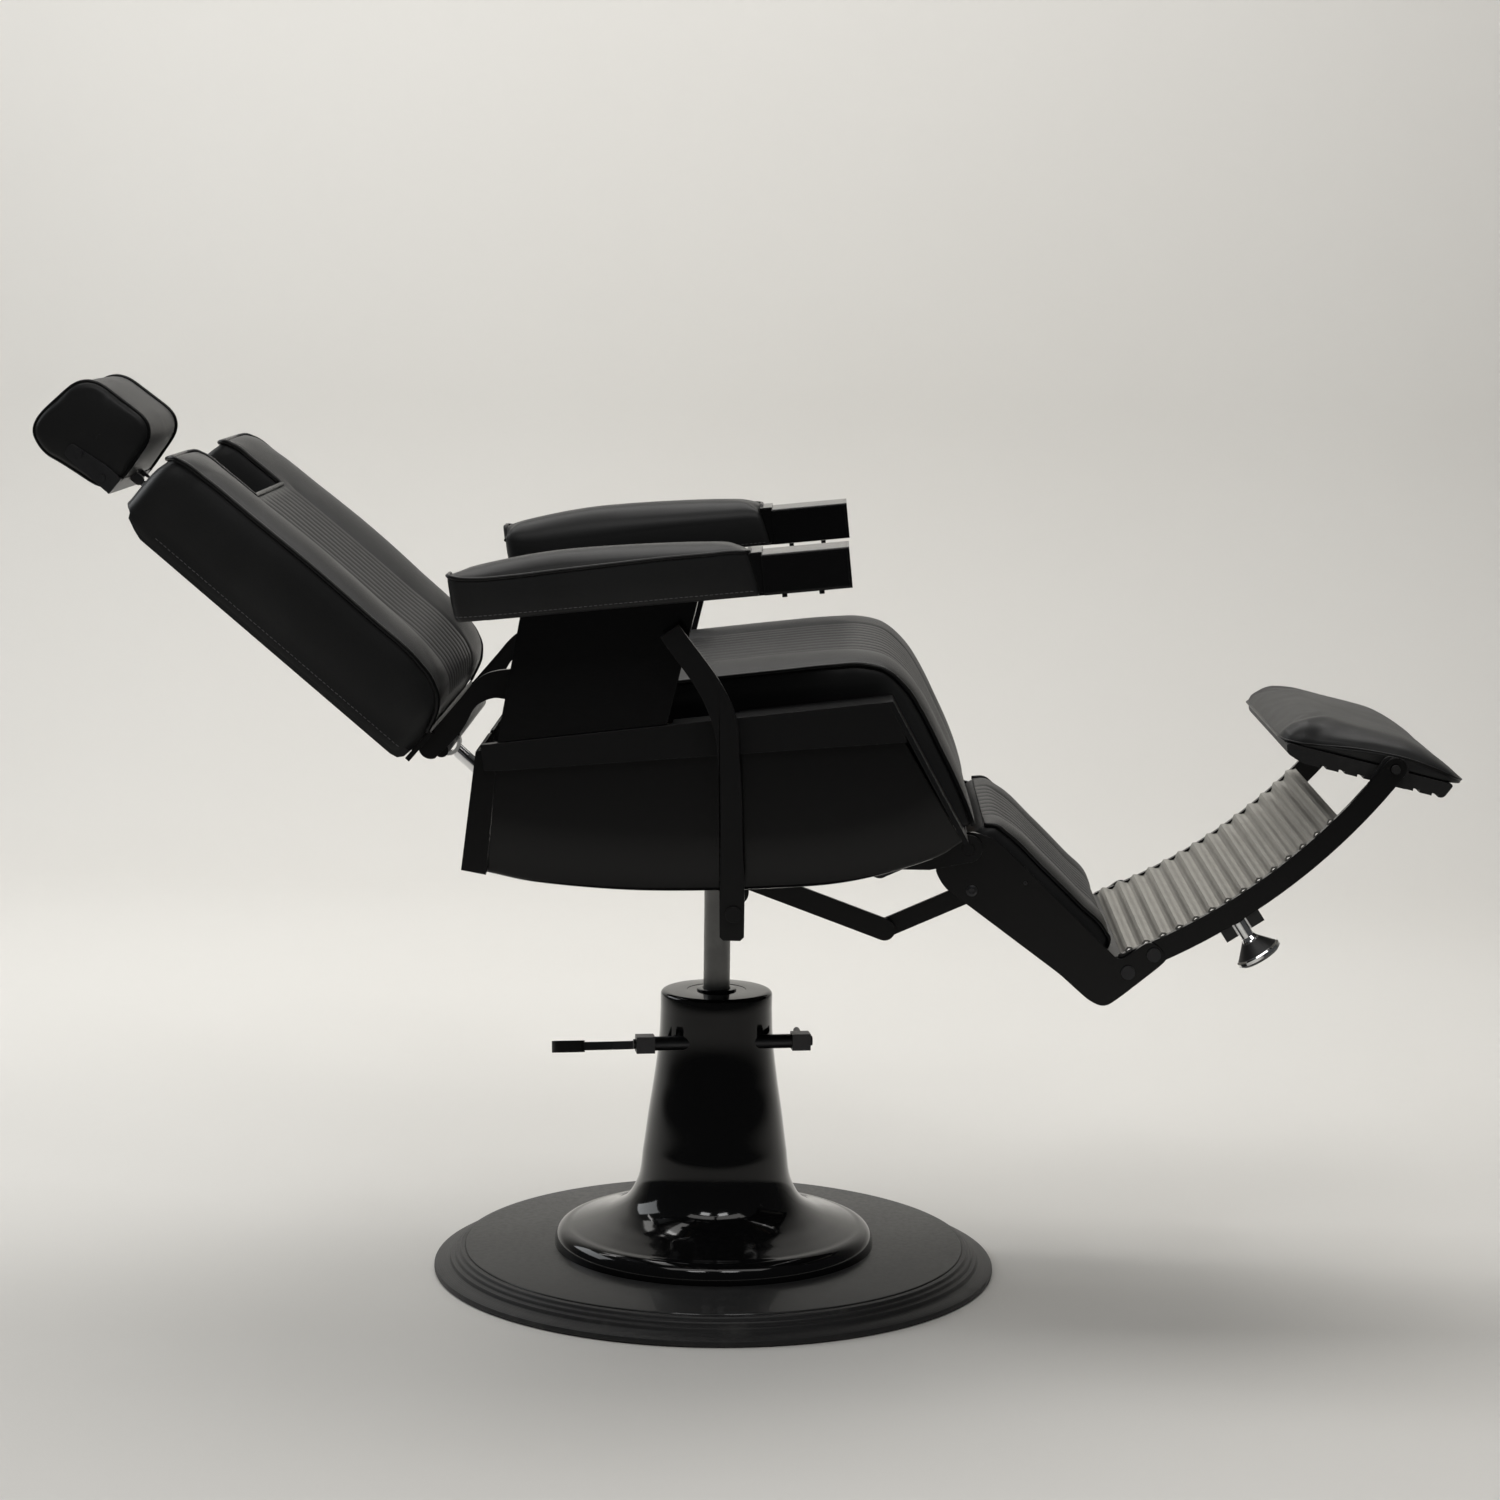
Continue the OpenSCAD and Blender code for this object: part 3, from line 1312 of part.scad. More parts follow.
// crowned cushion, fuller towards its rear end
module foot_cushion() {
    rear = foot_pad_front - foot_pad_l;
    color(vinyl) on_foot() skin([for (s = [[0, 0.95, 0.5, 2, 2], [0.02, 0.98, 0.8, 5, -1], [0.08, 1, 1, 9, -1.7],
                                         [0.3, 1, 1.06, 13, -1.7], [0.55, 1, 1.04, 13, -1.7],
                                         [0.78, 1, 0.9, 10, -1.7], [0.93, 0.99, 0.62, 5, -1.7],
                                         [0.985, 0.97, 0.4, 2, -2.5], [1, 0.95, 0.24, 0, -1.7]])
        foot_ring(rear + foot_pad_l * s[0], s[1], s[2], s[3], s[4])]);
}

floor_ring();
base_plate();
pump_foot();
pedestal();
pump_cylinder();
ram_bush();
base_bolts();
pump_shaft();
pump_pedal();
pedal_pad();
ram();
swivel_hub();
frame_pan();
frame_side_right();
frame_side_left();
cross_tubes();
seat_board();
seat_cushion();
housing_right();
housing_left();
rear_cap();
belt_rail_right();
belt_rail_left();
arm_pillar_right();
arm_pillar_left();
arm_box_right();
arm_box_left();
arm_end_caps();
arm_pad_right();
arm_pad_left();
pivot_pins();
cylinder_bracket();
recline_lever();
lever_axle();
cylinder_barrel();
recline_rod();
back_neck_right();
back_neck_left();
recline_shaft();
back_frame();
back_shell();
back_cushion();
headrest_sleeve();
headrest_post();
headrest_bracket();
headrest_pad();
headrest_screws();
sync_rocker();
sync_links();
push_links();
legrest_plate_right();
legrest_plate_left();
legrest_frame();
calf_pad();
foot_bars();
kick_plate();
legrest_bolts();
bumper();
foot_shell();
foot_cushion();
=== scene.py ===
# %% [markdown]
# # A hydraulic barber chair
# This lesson dresses a finished CAD model of a barber chair. The metalwork is already right, so it
# keeps its shape and gets paint, steel and rubber. The upholstery is made again as sewn vinyl,
# because a CAD solid can't show piping, stitches and channels. The chair stands with its back and
# its legrest laid out flat. X runs to the front of the chair and Z runs up.

import bmesh
import bpy
import numpy as np
from mathutils import Matrix


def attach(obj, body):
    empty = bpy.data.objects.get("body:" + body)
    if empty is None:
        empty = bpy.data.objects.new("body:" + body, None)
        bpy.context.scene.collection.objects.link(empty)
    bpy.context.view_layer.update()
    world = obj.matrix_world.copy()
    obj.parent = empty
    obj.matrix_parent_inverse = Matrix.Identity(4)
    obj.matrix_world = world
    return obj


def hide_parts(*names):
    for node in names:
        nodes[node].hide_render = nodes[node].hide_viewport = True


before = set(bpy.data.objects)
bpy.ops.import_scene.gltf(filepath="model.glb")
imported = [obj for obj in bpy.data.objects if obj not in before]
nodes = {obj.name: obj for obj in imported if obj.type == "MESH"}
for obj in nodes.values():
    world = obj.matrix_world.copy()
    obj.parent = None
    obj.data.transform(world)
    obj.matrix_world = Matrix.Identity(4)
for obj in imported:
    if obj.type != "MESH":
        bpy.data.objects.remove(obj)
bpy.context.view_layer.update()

# %% [markdown]
# ## The studio
# The chair stands on a pale floor that sweeps up into a wall. One curved sheet does for both: a
# profile line of floor, quarter circle and wall, carried sideways. The camera looks at the chair's
# right side from about four metres away, a little down, through a long lens. A long lens keeps the
# two arms nearly the same size. The air round the studio lights the chair only faintly. The camera
# alone sees it lighter, so that a view past the floor's edge isn't black.

# %% Camera
swing, tilt, roll = np.radians([-1.19, 7.94, 0.72])
ahead = np.array([np.sin(swing) * np.cos(tilt), np.cos(swing) * np.cos(tilt), -np.sin(tilt)])
level = np.array([np.cos(swing), -np.sin(swing), 0.0])
upright = np.cross(level, ahead)
camera_place = [0.1256, -4.272, 1.2307]


def stand(name, data, place, side, up, away):
    """Puts a camera or lamp at a place. It looks against away, and side and up are its other axes."""
    axes = np.eye(4)
    axes[:3] = np.stack([side, up, away, place], 1)
    holder = bpy.data.objects.new(name, data)
    holder.matrix_world = Matrix(axes.tolist())
    bpy.context.scene.collection.objects.link(holder)
    return holder


lens = bpy.data.cameras.new("studio_lens")
lens.lens, lens.sensor_width, lens.sensor_fit = 86.4, 36.0, "HORIZONTAL"
bpy.context.scene.camera = stand("studio_camera", lens, camera_place,
                                 level * np.cos(roll) + upright * np.sin(roll),
                                 upright * np.cos(roll) - level * np.sin(roll), -ahead)
print("camera stands at", camera_place)

# %% [markdown]
# ## From arrays to meshes
# Every new piece below is worked out as whole numpy arrays in millimetres and only then handed to
# Blender in metres. The helpers here turn a grid of points into faces, make the object and close
# its open ends, draw a smooth curve through measured points, and measure along a path.

# %% Grid and mesh helpers
def quads(index, wrap=False, loop=False):
    """Faces of a grid of point numbers: each joins a point, its right neighbour and the two above.
    With wrap every row closes on itself, and with loop the last row joins the first."""
    if loop:
        index = np.concatenate([index, index[:1]], 0)
    if wrap:
        index = np.concatenate([index, index[:, :1]], 1)
    return np.stack([index[:-1, :-1], index[:-1, 1:], index[1:, 1:], index[1:, :-1]], -1).reshape(-1, 4)


def grid_faces(rows, cols, wrap=False, loop=False):
    """Faces of a rows by cols grid whose points are numbered row by row."""
    return quads(np.arange(rows * cols).reshape(rows, cols), wrap, loop)


def edit(mesh, change):
    """Opens a mesh for editing, changes it and writes it back."""
    work = bmesh.new()
    work.from_mesh(mesh)
    change(work)
    work.to_mesh(mesh)
    work.free()


def make_piece(name, points, faces, ends=(), sharp=None):
    """Mesh object from points in mm. ends are loops of indices that are closed with triangles."""
    def close(work):
        work.verts.ensure_lookup_table()
        lids = [work.faces.new([work.verts[int(i)] for i in loop]) for loop in ends]
        bmesh.ops.triangulate(work, faces=lids)

    mesh = bpy.data.meshes.new(name)
    mesh.from_pydata((np.asarray(points, float) / 1000).tolist(), [], np.asarray(faces).tolist())
    if len(ends):
        edit(mesh, close)
    mesh.validate()
    mesh.polygons.foreach_set("use_smooth", np.ones(len(mesh.polygons), bool))
    if sharp is not None:
        mesh.set_sharp_from_angle(angle=np.radians(sharp))
    piece = bpy.data.objects.new(name, mesh)
    bpy.context.scene.collection.objects.link(piece)
    return piece


def outwards(piece, sharp=None):
    """Turns every face of a closed piece outwards, then creases edges sharper than so many degrees."""
    edit(piece.data, lambda work: bmesh.ops.recalc_face_normals(work, faces=work.faces))
    if sharp is not None:
        piece.data.set_sharp_from_angle(angle=np.radians(sharp))


print("mesh helpers ready")


# %% Curves and spacing
def unit(v):
    """Vectors divided by their own lengths."""
    return v / np.maximum(np.linalg.norm(v, axis=-1, keepdims=True), 1e-9)


def through(stops, values, at):
    """Smooth curve through values at the stops: cubic Hermite pieces, slopes from the neighbours."""
    stops, values, at = np.asarray(stops, float), np.asarray(values, float), np.asarray(at, float)
    slope = np.gradient(values, stops, axis=0)
    k = np.clip(np.searchsorted(stops, at) - 1, 0, len(stops) - 2)
    span = stops[k + 1] - stops[k]
    t = np.clip((at - stops[k]) / span, 0, 1)
    if values.ndim > 1:
        t, span = t[..., None], span[..., None]
    return ((2 * t**3 - 3 * t**2 + 1) * values[k] + (t**3 - 2 * t**2 + t) * span * slope[k]
            + (3 * t**2 - 2 * t**3) * values[k + 1] + (t**3 - t**2) * span * slope[k + 1])


def rounding(radius, past):
    """How far a round corner has drawn in, a distance past its start: r - sqrt(r^2 - d^2)."""
    return radius - np.sqrt(radius**2 - np.clip(past, 0, radius)**2)


def spaced(stops, steps):
    """Points from stop to stop, each stretch cut into equal steps no longer than its own limit."""
    parts = [np.linspace(a, b, max(1, int(np.ceil((b - a) / s))), endpoint=False)
             for a, b, s in zip(stops, stops[1:], steps)]
    return np.concatenate(parts + [[stops[-1]]])


def run_of(path):
    """Length of a path up to each of its points."""
    return np.concatenate([[0], np.cumsum(np.linalg.norm(np.diff(path, axis=0), axis=1))])


def along(path, run, at):
    """Points of a path where its run reaches each value of at."""
    return np.stack([np.interp(at, run, part) for part in path.T], 1)


print("curve helpers ready")

# %% Floor, wall and lights
floor_edge, floor_level, half_width, wall_top, bend_start, bend_radius = -6500, -1, 9000, 6500, 2600, 900
turn = np.linspace(0, np.pi / 2, 25)
bend = np.stack([bend_start + bend_radius * np.sin(turn),
                 floor_level + bend_radius - bend_radius * np.cos(turn)], 1)
sweep = np.concatenate([[[floor_edge, floor_level]], bend, [[bend_start + bend_radius, wall_top]]])
across = np.linspace(-half_width, half_width, 13)
studio_points = np.stack(np.broadcast_arrays(across[None, :], sweep[:, :1], sweep[:, 1:]), -1)
studio = make_piece("studio_floor", studio_points.reshape(-1, 3), grid_faces(len(sweep), len(across)))


def lamp(name, place, target, size, power, tint=(1, 1, 1)):
    """Area lamp at a place, its face turned to the target."""
    light = bpy.data.lights.new(name, "AREA")
    light.shape, light.size, light.size_y = "RECTANGLE", size[0], size[1]
    light.energy, light.color = power, tint
    away = unit(np.array(place, float) - np.array(target, float))
    side = unit(np.cross([0.01, 1.0, 0.02], away))
    stand(name, light, place, side, np.cross(away, side), away)


lamp("ceiling", (0.0, 1.1, 3.6), (0.1, 0.3, 0.5), (4.5, 2.4), 98, (1.0, 0.985, 0.96))
lamp("window", (-3.4, 1.2, 2.3), (0.0, 0.2, 0.8), (1.4, 2.4), 34, (0.95, 0.98, 1.0))
lamp("front_left", (-0.6, -2.6, 3.2), (0.0, 0.0, 0.3), (0.7, 0.4), 10)
lamp("front_right", (0.75, -2.5, 3.2), (0.0, 0.0, 0.3), (0.7, 0.4), 10)
lamp("wall_wash", (-0.5, 1.4, 3.4), (-0.2, 3.5, 1.7), (5.0, 0.7), 62, (1.0, 0.99, 0.97))
lamp("floor_fill", (0.2, -1.7, 3.1), (0.2, -1.9, 0.0), (3.6, 0.9), 26, (1.0, 0.98, 0.95))
world = bpy.data.worlds.new("studio_world")
world.use_nodes = True
sky = world.node_tree
lights_with, looks_like = 0.07, 0.3
sky.nodes["Background"].inputs["Color"].default_value = (0.86, 0.88, 0.9, 1)
looked_at = sky.nodes.new("ShaderNodeLightPath").outputs["Is Camera Ray"]
strength = sky.nodes.new("ShaderNodeMapRange")
strength.inputs["To Min"].default_value, strength.inputs["To Max"].default_value = lights_with, looks_like
sky.links.new(looked_at, strength.inputs["Value"])
sky.links.new(strength.outputs[0], sky.nodes["Background"].inputs["Strength"])
bpy.context.scene.world = world
bpy.context.scene.view_settings.view_transform = "Standard"
print("studio has", len(bpy.data.lights), "lamps")

# %% [markdown]
# ## Writing finishes as sums
# A finish is a graph of shader nodes. Drawn by hand such a graph is slow to read, so a small class
# stands for one socket and lets ordinary arithmetic add the Math nodes. A finish then reads like a
# recipe: roughness = 0.3 + 0.1 * clouds.

# %% Finish helpers
class Amount:
    """One socket of a finish; sums and products of it add the Math nodes that work them out."""

    def __init__(self, finish, plug):
        self.finish, self.plug = finish, plug

    def work(self, operation, first, second):
        return self.finish.node("Math", {"operation": operation}, {0: first, 1: second})

    def __add__(self, other):
        return self.work("ADD", self, other)

    def __sub__(self, other):
        return self.work("SUBTRACT", self, other)

    def __rsub__(self, other):
        return self.work("SUBTRACT", other, self)

    def __mul__(self, other):
        return self.work("MULTIPLY", self, other)

    __radd__, __rmul__ = __add__, __mul__

    def sine(self):
        return self.work("SINE", self, 0.0)


class Finish:
    """A material being made: its Principled shader and the nodes that feed it."""

    def __init__(self, name, **even):
        self.material = bpy.data.materials.new(name)
        self.material.use_nodes = True
        self.tree = self.material.node_tree
        self.shader = self.tree.nodes["Principled BSDF"]
        for socket, value in even.items():
            self.shader.inputs[socket.replace("_", " ")].default_value = value
        self.place = self.node("TexCoord", out="Object")

    def node(self, kind, settings=None, inputs=None, out=0):
        made = self.tree.nodes.new("ShaderNode" + kind)
        for key, value in (settings or {}).items():
            setattr(made, key, value)
        for key, value in (inputs or {}).items():
            if isinstance(value, Amount):
                self.tree.links.new(value.plug, made.inputs[key])
            else:
                made.inputs[key].default_value = value
        return Amount(self, made.outputs[out])

    def vector(self, operation, first, second=(0, 0, 0), out="Value"):
        return self.node("VectorMath", {"operation": operation}, {0: first, 1: second}, out)

    def stretched(self, scale):
        return self.vector("MULTIPLY", self.place, scale, "Vector")

    def axis(self, name, place=None):
        return self.node("SeparateXYZ", None, {0: place or self.place}, name)

    def clouds(self, scale, detail=3.0, roughness=0.5, place=None):
        return self.node("TexNoise", None, {"Vector": place or self.place, "Scale": scale,
                                            "Detail": detail, "Roughness": roughness}, "Fac")

    def between(self, low, high, amount):
        return self.node("MapRange", {"interpolation_type": "SMOOTHSTEP"},
                         {"Value": amount, "From Min": low, "From Max": high})

    def colours(self, dark, light, share):
        return self.node("Mix", {"data_type": "RGBA"}, {0: share, 6: (*dark, 1), 7: (*light, 1)}, 2)

    def rounded_edges(self, radius):
        return self.node("Bevel", {"samples": 4}, {"Radius": radius})

    def relief(self, height, depth, over=None, strength=1.0):
        inputs = {"Height": height, "Distance": depth, "Strength": strength}
        if over:
            inputs["Normal"] = over
        return self.node("Bump", None, inputs)

    def feed(self, **sockets):
        for socket, value in sockets.items():
            self.tree.links.new(value.plug, self.shader.inputs[socket.replace("_", " ")])
        return self.material


def times(colour, factor):
    """A colour made lighter or darker by a factor."""
    return tuple(v * factor for v in colour)


print("finish helpers ready")

# %% [markdown]
# ## Vinyl
# Upholstery vinyl is a black film with a printed leather grain: flat islands about a millimetre
# wide between fine creases. Voronoi cells give the islands, and their distance to the edge gives
# the creases. A slower noise makes the film a little uneven, so its sheen breaks up where it is
# stretched, and hands polish it in soft patches.

# %% Vinyl finishes
def vinyl_finish(name, shade, gloss, grain):
    film = Finish(name, Specular_IOR_Level=0.19, Coat_Roughness=0.32, IOR=1.45)
    cells = film.node("TexVoronoi", {"feature": "DISTANCE_TO_EDGE"},
                      {"Vector": film.place, "Scale": 820.0, "Randomness": 0.9}, "Distance")
    creases = film.between(0.0, 0.16, cells)
    stretch = film.clouds(34.0, 3.0, 0.55)
    hands = film.clouds(5.5, 2.0, 0.5)
    pores = film.clouds(2600.0, 2.0, 0.6)
    height = creases * grain + stretch * 1.6 + pores * 0.12
    return film.feed(
        Base_Color=film.colours(times(shade, 0.72), times(shade, 1.35), creases * 0.45 + hands * 0.5),
        Roughness=gloss + 0.1 * film.between(0.35, 0.7, hands) + 0.07 * stretch - 0.06 * creases,
        Coat_Weight=0.02 + 0.1 * film.between(0.42, 0.62, hands),
        Normal=film.relief(height, 0.00013, strength=0.5))


cover_vinyl = vinyl_finish("cover_vinyl", (0.013, 0.0132, 0.0135), 0.38, 0.35)
# The piping is the cover's vinyl given a darker colour: a painted shade for the dark crease beside each
# cord.
piping_vinyl_painted_shade = vinyl_finish("piping_vinyl_painted_shade", (0.004, 0.004, 0.0042), 0.26, 0.3)


def thread_finish():
    """Twisted thread: a fine diagonal wave across dark grey polyester."""
    thread = Finish("stitch_thread", Roughness=0.55, Specular_IOR_Level=0.3)
    twist = (thread.axis("X") * 5200 + thread.axis("Z") * 4100).sine() * 0.5 + 0.5
    return thread.feed(Base_Color=thread.colours((0.035, 0.035, 0.036), (0.13, 0.13, 0.135), twist),
                       Normal=thread.relief(twist, 0.00012))


stitch_thread = thread_finish()
print("vinyl finishes made")

# %% [markdown]
# ## Paint and enamel
# Four black coats cover the metal. The pedestal is stove enamel, nearly a mirror, with the faint
# ripple painters call orange peel. The housing and the arms are gloss paint, the rails, the lever
# and the links are satin, and the floor plate is flatter still. Each coat gathers a little dust
# where it faces up, and rubs thinner along its edges. Along the edges the colour is also made
# lighter as a painted highlight, for the thin line of light an edge catches. A Bevel node rounds
# the edges for the light alone, because the CAD's edges are sharp.

# %% Paint finishes
def paint_finish(name, shade, gloss, coat, peel, dust, edge=0.0009):
    paint = Finish(name, Coat_Roughness=0.05, Specular_IOR_Level=0.2, IOR=1.45)
    rounded = paint.rounded_edges(edge)
    at_edge = 1 - paint.vector("DOT_PRODUCT", rounded, paint.node("NewGeometry", out="Normal"))
    # Patchy edge mask: the paint worn thinner, and a painted highlight for the bright line an edge catches.
    edge_wear_and_highlight = paint.between(0.0, 0.35, at_edge) * paint.between(0.35, 0.65, paint.clouds(60.0, 4.0, 0.6))
    up = paint.axis("Z", paint.node("TexCoord", out="Normal"))
    settled = paint.between(0.2, 1.0, up) * paint.between(0.35, 0.75, paint.clouds(140.0, 5.0, 0.65))
    smears = paint.clouds(11.0, 3.0, 0.55)
    ripple = paint.clouds(330.0, 2.0, 0.4)
    # Lighter colour, used for the dust on upward faces and for the painted edge highlight.
    light = tuple(0.035 + v for v in shade)
    return paint.feed(
        Base_Color=paint.colours(shade, light, settled * dust + edge_wear_and_highlight * 0.5),
        Roughness=gloss + settled * dust * 0.3 + smears * 0.06 + edge_wear_and_highlight * 0.15,
        Coat_Weight=coat - coat * settled * dust,
        Normal=paint.relief(ripple, peel, rounded, 0.6))


enamel = paint_finish("pedestal_enamel", (0.003, 0.003, 0.0032), 0.05, 0.3, 0.00004, 0.06)
gloss_paint = paint_finish("gloss_paint", (0.004, 0.004, 0.0042), 0.12, 0.1, 0.00005, 0.15, 0.002)
satin_paint = paint_finish("satin_paint", (0.006, 0.006, 0.0063), 0.3, 0.05, 0.0001, 0.15, 0.0014)
plate_paint = paint_finish("plate_paint", (0.015, 0.0152, 0.0155), 0.36, 0.12, 0.00012, 0.3)
print("paint finishes made")

# %% [markdown]
# ## Bare metal
# The ram is ground round its axis, so fine lines circle it. The kick plate is brushed aluminium
# sheet, drawn across the chair. Chrome is a smooth mirror with wiping marks, and the bolts are
# blackened. All four are one recipe: a noise stretched along one direction gives the lines, for
# relief and for roughness.

# %% Metal finishes
def metal_finish(name, colour, gloss, lines, along, tarnish=0.5):
    metal = Finish(name, Metallic=1.0, Specular_IOR_Level=0.5)
    drawn = metal.clouds(1.0, 4.0, 0.6, metal.stretched(along))
    patches = metal.clouds(17.0, 4.0, 0.6)
    dull = times(colour, 1 - 0.45 * tarnish)
    return metal.feed(
        Base_Color=metal.colours(dull, colour, metal.between(0.3, 0.65, patches)),
        Roughness=gloss + 0.16 * tarnish * patches + drawn * lines * 0.25,
        Normal=metal.relief(drawn, 0.00003 * lines, metal.rounded_edges(0.0006)))


ground_steel = metal_finish("ground_steel", (0.19, 0.19, 0.186), 0.24, 1.0, (60, 60, 4200))
bright_chrome = metal_finish("bright_chrome", (0.82, 0.825, 0.83), 0.04, 0.1, (300, 300, 300), 0.2)
brushed_sheet = metal_finish("brushed_sheet", (0.325, 0.316, 0.293), 0.56, 0.5, (3200, 30, 3200), 0.2)
black_oxide = metal_finish("black_oxide", (0.06, 0.06, 0.063), 0.3, 0.6, (900, 900, 900))
print("metal finishes made")

# %% [markdown]
# ## Rubber, plastic and board
# The base ring is moulded rubber with fine rings from the lathe that cut its mould. The foot pad's
# tread and its shell are textured plastic. The boards under the seat are birch plywood, seen only
# from below: plies show at the edge, and the face has a long grain. The studio is plain paint.

# %% Rubber, plastic and board finishes
def ring_rubber_finish():
    """Rings on the distance from the chair's upright axis, with a fine speckle over them."""
    rubber = Finish("ring_rubber", Specular_IOR_Level=0.4)
    rings = (rubber.vector("LENGTH", rubber.stretched((1, 1, 0))) * 2600).sine() * 0.5 + 0.5
    speckle = rubber.clouds(1500.0, 2.0, 0.6)
    scuffs = rubber.between(0.5, 0.75, rubber.clouds(24.0, 5.0, 0.65))
    return rubber.feed(Base_Color=rubber.colours((0.012, 0.012, 0.0125), (0.034, 0.033, 0.032), scuffs),
                       Roughness=0.42 + 0.1 * speckle + 0.16 * scuffs,
                       Normal=rubber.relief(rings * 0.5 + speckle * 0.5, 0.00018))


def moulded_finish(name, shade, gloss, texture):
    """Spark-eroded mould texture: two speckles of different size added."""
    plastic = Finish(name, Specular_IOR_Level=0.32)
    fine = plastic.clouds(1900.0, 2.0, 0.6)
    coarse = plastic.clouds(420.0, 3.0, 0.5)
    scuffs = plastic.between(0.52, 0.78, plastic.clouds(30.0, 5.0, 0.65))
    return plastic.feed(Base_Color=plastic.colours(shade, times(shade, 2.1), scuffs),
                        Roughness=gloss + 0.12 * scuffs + 0.08 * coarse,
                        Normal=plastic.relief(fine * 0.6 + coarse, texture, plastic.rounded_edges(0.0009)))


def board_finish():
    """Birch ply: a long wavy grain on the face and thin plies by height."""
    board = Finish("birch_board", Specular_IOR_Level=0.35)
    grain = board.clouds(1.0, 5.0, 0.62, board.stretched((14, 190, 190)))
    plies = (board.axis("Z") * 2100).sine() * 0.5 + 0.5
    share = grain * 0.8 + plies * 0.2
    return board.feed(Base_Color=board.colours((0.22, 0.13, 0.07), (0.52, 0.37, 0.22), share),
                      Roughness=0.5 + 0.2 * grain, Normal=board.relief(grain, 0.0002))


def bumper_finish():
    """A chromed stem and rim round a black rubber face: chrome where the distance along the bumper's
    axis is short, or where the distance from the axis is nearly the rim's radius."""
    part = Finish("bumper_rubber", Specular_IOR_Level=0.45)
    lean = np.radians(-57)
    axis, seat = (float(np.cos(lean)), 0.0, float(np.sin(lean))), (0.6037, 0.0, 0.4731)
    from_seat = part.vector("SUBTRACT", part.stretched((1, 0, 1)), seat, "Vector")
    height = part.vector("DOT_PRODUCT", from_seat, axis)
    aside = part.vector("DOT_PRODUCT", from_seat, (-axis[2], 0.0, axis[0]))
    stem = part.between(0.0262, 0.0258, height) * part.between(0.00009, 0.000075, aside * aside)
    rim = part.between(0.0405, 0.0409, height) * part.between(0.0460, 0.0457, height)
    chrome = stem + rim
    speckle = part.clouds(1500.0, 2.0, 0.6)
    wiped = part.clouds(60.0, 3.0, 0.5)
    return part.feed(Base_Color=part.colours((0.012, 0.012, 0.0125), (0.78, 0.785, 0.79), chrome),
                     Metallic=chrome, Roughness=0.42 - 0.36 * chrome + 0.08 * wiped,
                     Normal=part.relief(speckle * (1 - chrome), 0.0001))


ring_rubber = ring_rubber_finish()
bumper_rubber = bumper_finish()
tread_rubber = moulded_finish("tread_rubber", (0.008, 0.008, 0.0083), 0.5, 0.00022)
shell_plastic = moulded_finish("shell_plastic", (0.011, 0.011, 0.0115), 0.36, 0.00012)
birch_board = board_finish()
print("rubber, plastic and board finishes made")


# %% Studio paint
def studio_finish():
    """Warm white paint with the faintest clouding, so the sweep isn't a dead flat tone. Its back is
    clear, so that the chair can be looked at from behind the wall."""
    paint = Finish("studio_paint", Specular_IOR_Level=0.2)
    soft = paint.clouds(0.6, 3.0, 0.5)
    paint.feed(Base_Color=paint.colours((0.66, 0.645, 0.615), (0.71, 0.70, 0.675), soft),
               Roughness=0.62 + 0.1 * paint.clouds(40.0, 3.0, 0.5),
               Normal=paint.relief(paint.clouds(300.0, 2.0, 0.5), 0.0001))
    back = paint.node("NewGeometry", out="Backfacing")
    clear = paint.node("BsdfTransparent", out="BSDF")
    painted = Amount(paint, paint.shader.outputs["BSDF"])
    one_sided = paint.node("MixShader", None, {0: back, 1: painted, 2: clear}, "Shader")
    paint.tree.links.new(one_sided.plug, paint.tree.nodes["Material Output"].inputs["Surface"])
    return paint.material


studio.data.materials.append(studio_finish())
print("studio painted")

# %% [markdown]
# ## Who wears what
# The CAD solids that stay on show are listed here under their finish. A CAD piece keeps its mesh
# untouched: only its material slots change.

# %% Finishes for the CAD pieces
wardrobe = [
    (enamel, "pump_foot pump_cylinder"),
    (gloss_paint, "rear_cap arm_pillar_right arm_pillar_left arm_box_right arm_box_left arm_end_caps "
                  "legrest_plate_right legrest_plate_left foot_bars"),
    (satin_paint, "belt_rail_right belt_rail_left back_frame swivel_hub frame_pan frame_side_right "
                  "frame_side_left cross_tubes sync_rocker sync_links push_links legrest_frame "
                  "headrest_sleeve cylinder_bracket cylinder_barrel pivot_pins recline_shaft lever_axle"),
    (ground_steel, "ram"),
    (bright_chrome, "recline_rod headrest_post"),
    (bumper_rubber, "bumper"),
    (brushed_sheet, "kick_plate"),
    (black_oxide, "base_bolts legrest_bolts headrest_screws pump_shaft pump_pedal headrest_bracket"),
    (tread_rubber, "pedal_pad foot_shell"),
    (shell_plastic, "back_shell"),
    (birch_board, "seat_board"),
]
for finish, names in wardrobe:
    for name in names.split():
        slots = nodes[name].data.materials
        slots.clear()
        slots.append(finish)
print("dressed", sum(len(names.split()) for _, names in wardrobe), "CAD pieces")

# %% [markdown]
# ## The turned base
# The pedestal, the floor plate and its rubber ring were all turned or spun about one upright axis.
# Stove enamel is so smooth that the CAD's flat facets would show as a broken mirror. So these three
# and the ram's bush are turned again from their own profiles, with a section every two degrees, or
# nearly four for the small bush. The steps moulded into the rubber ring are real edges here,
# because they catch the light one by one.

# %% Turned base
def put(piece, body, finish):
    """Rides a piece on its body, with its finish."""
    piece.data.materials.append(finish)
    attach(piece, body)
    return piece


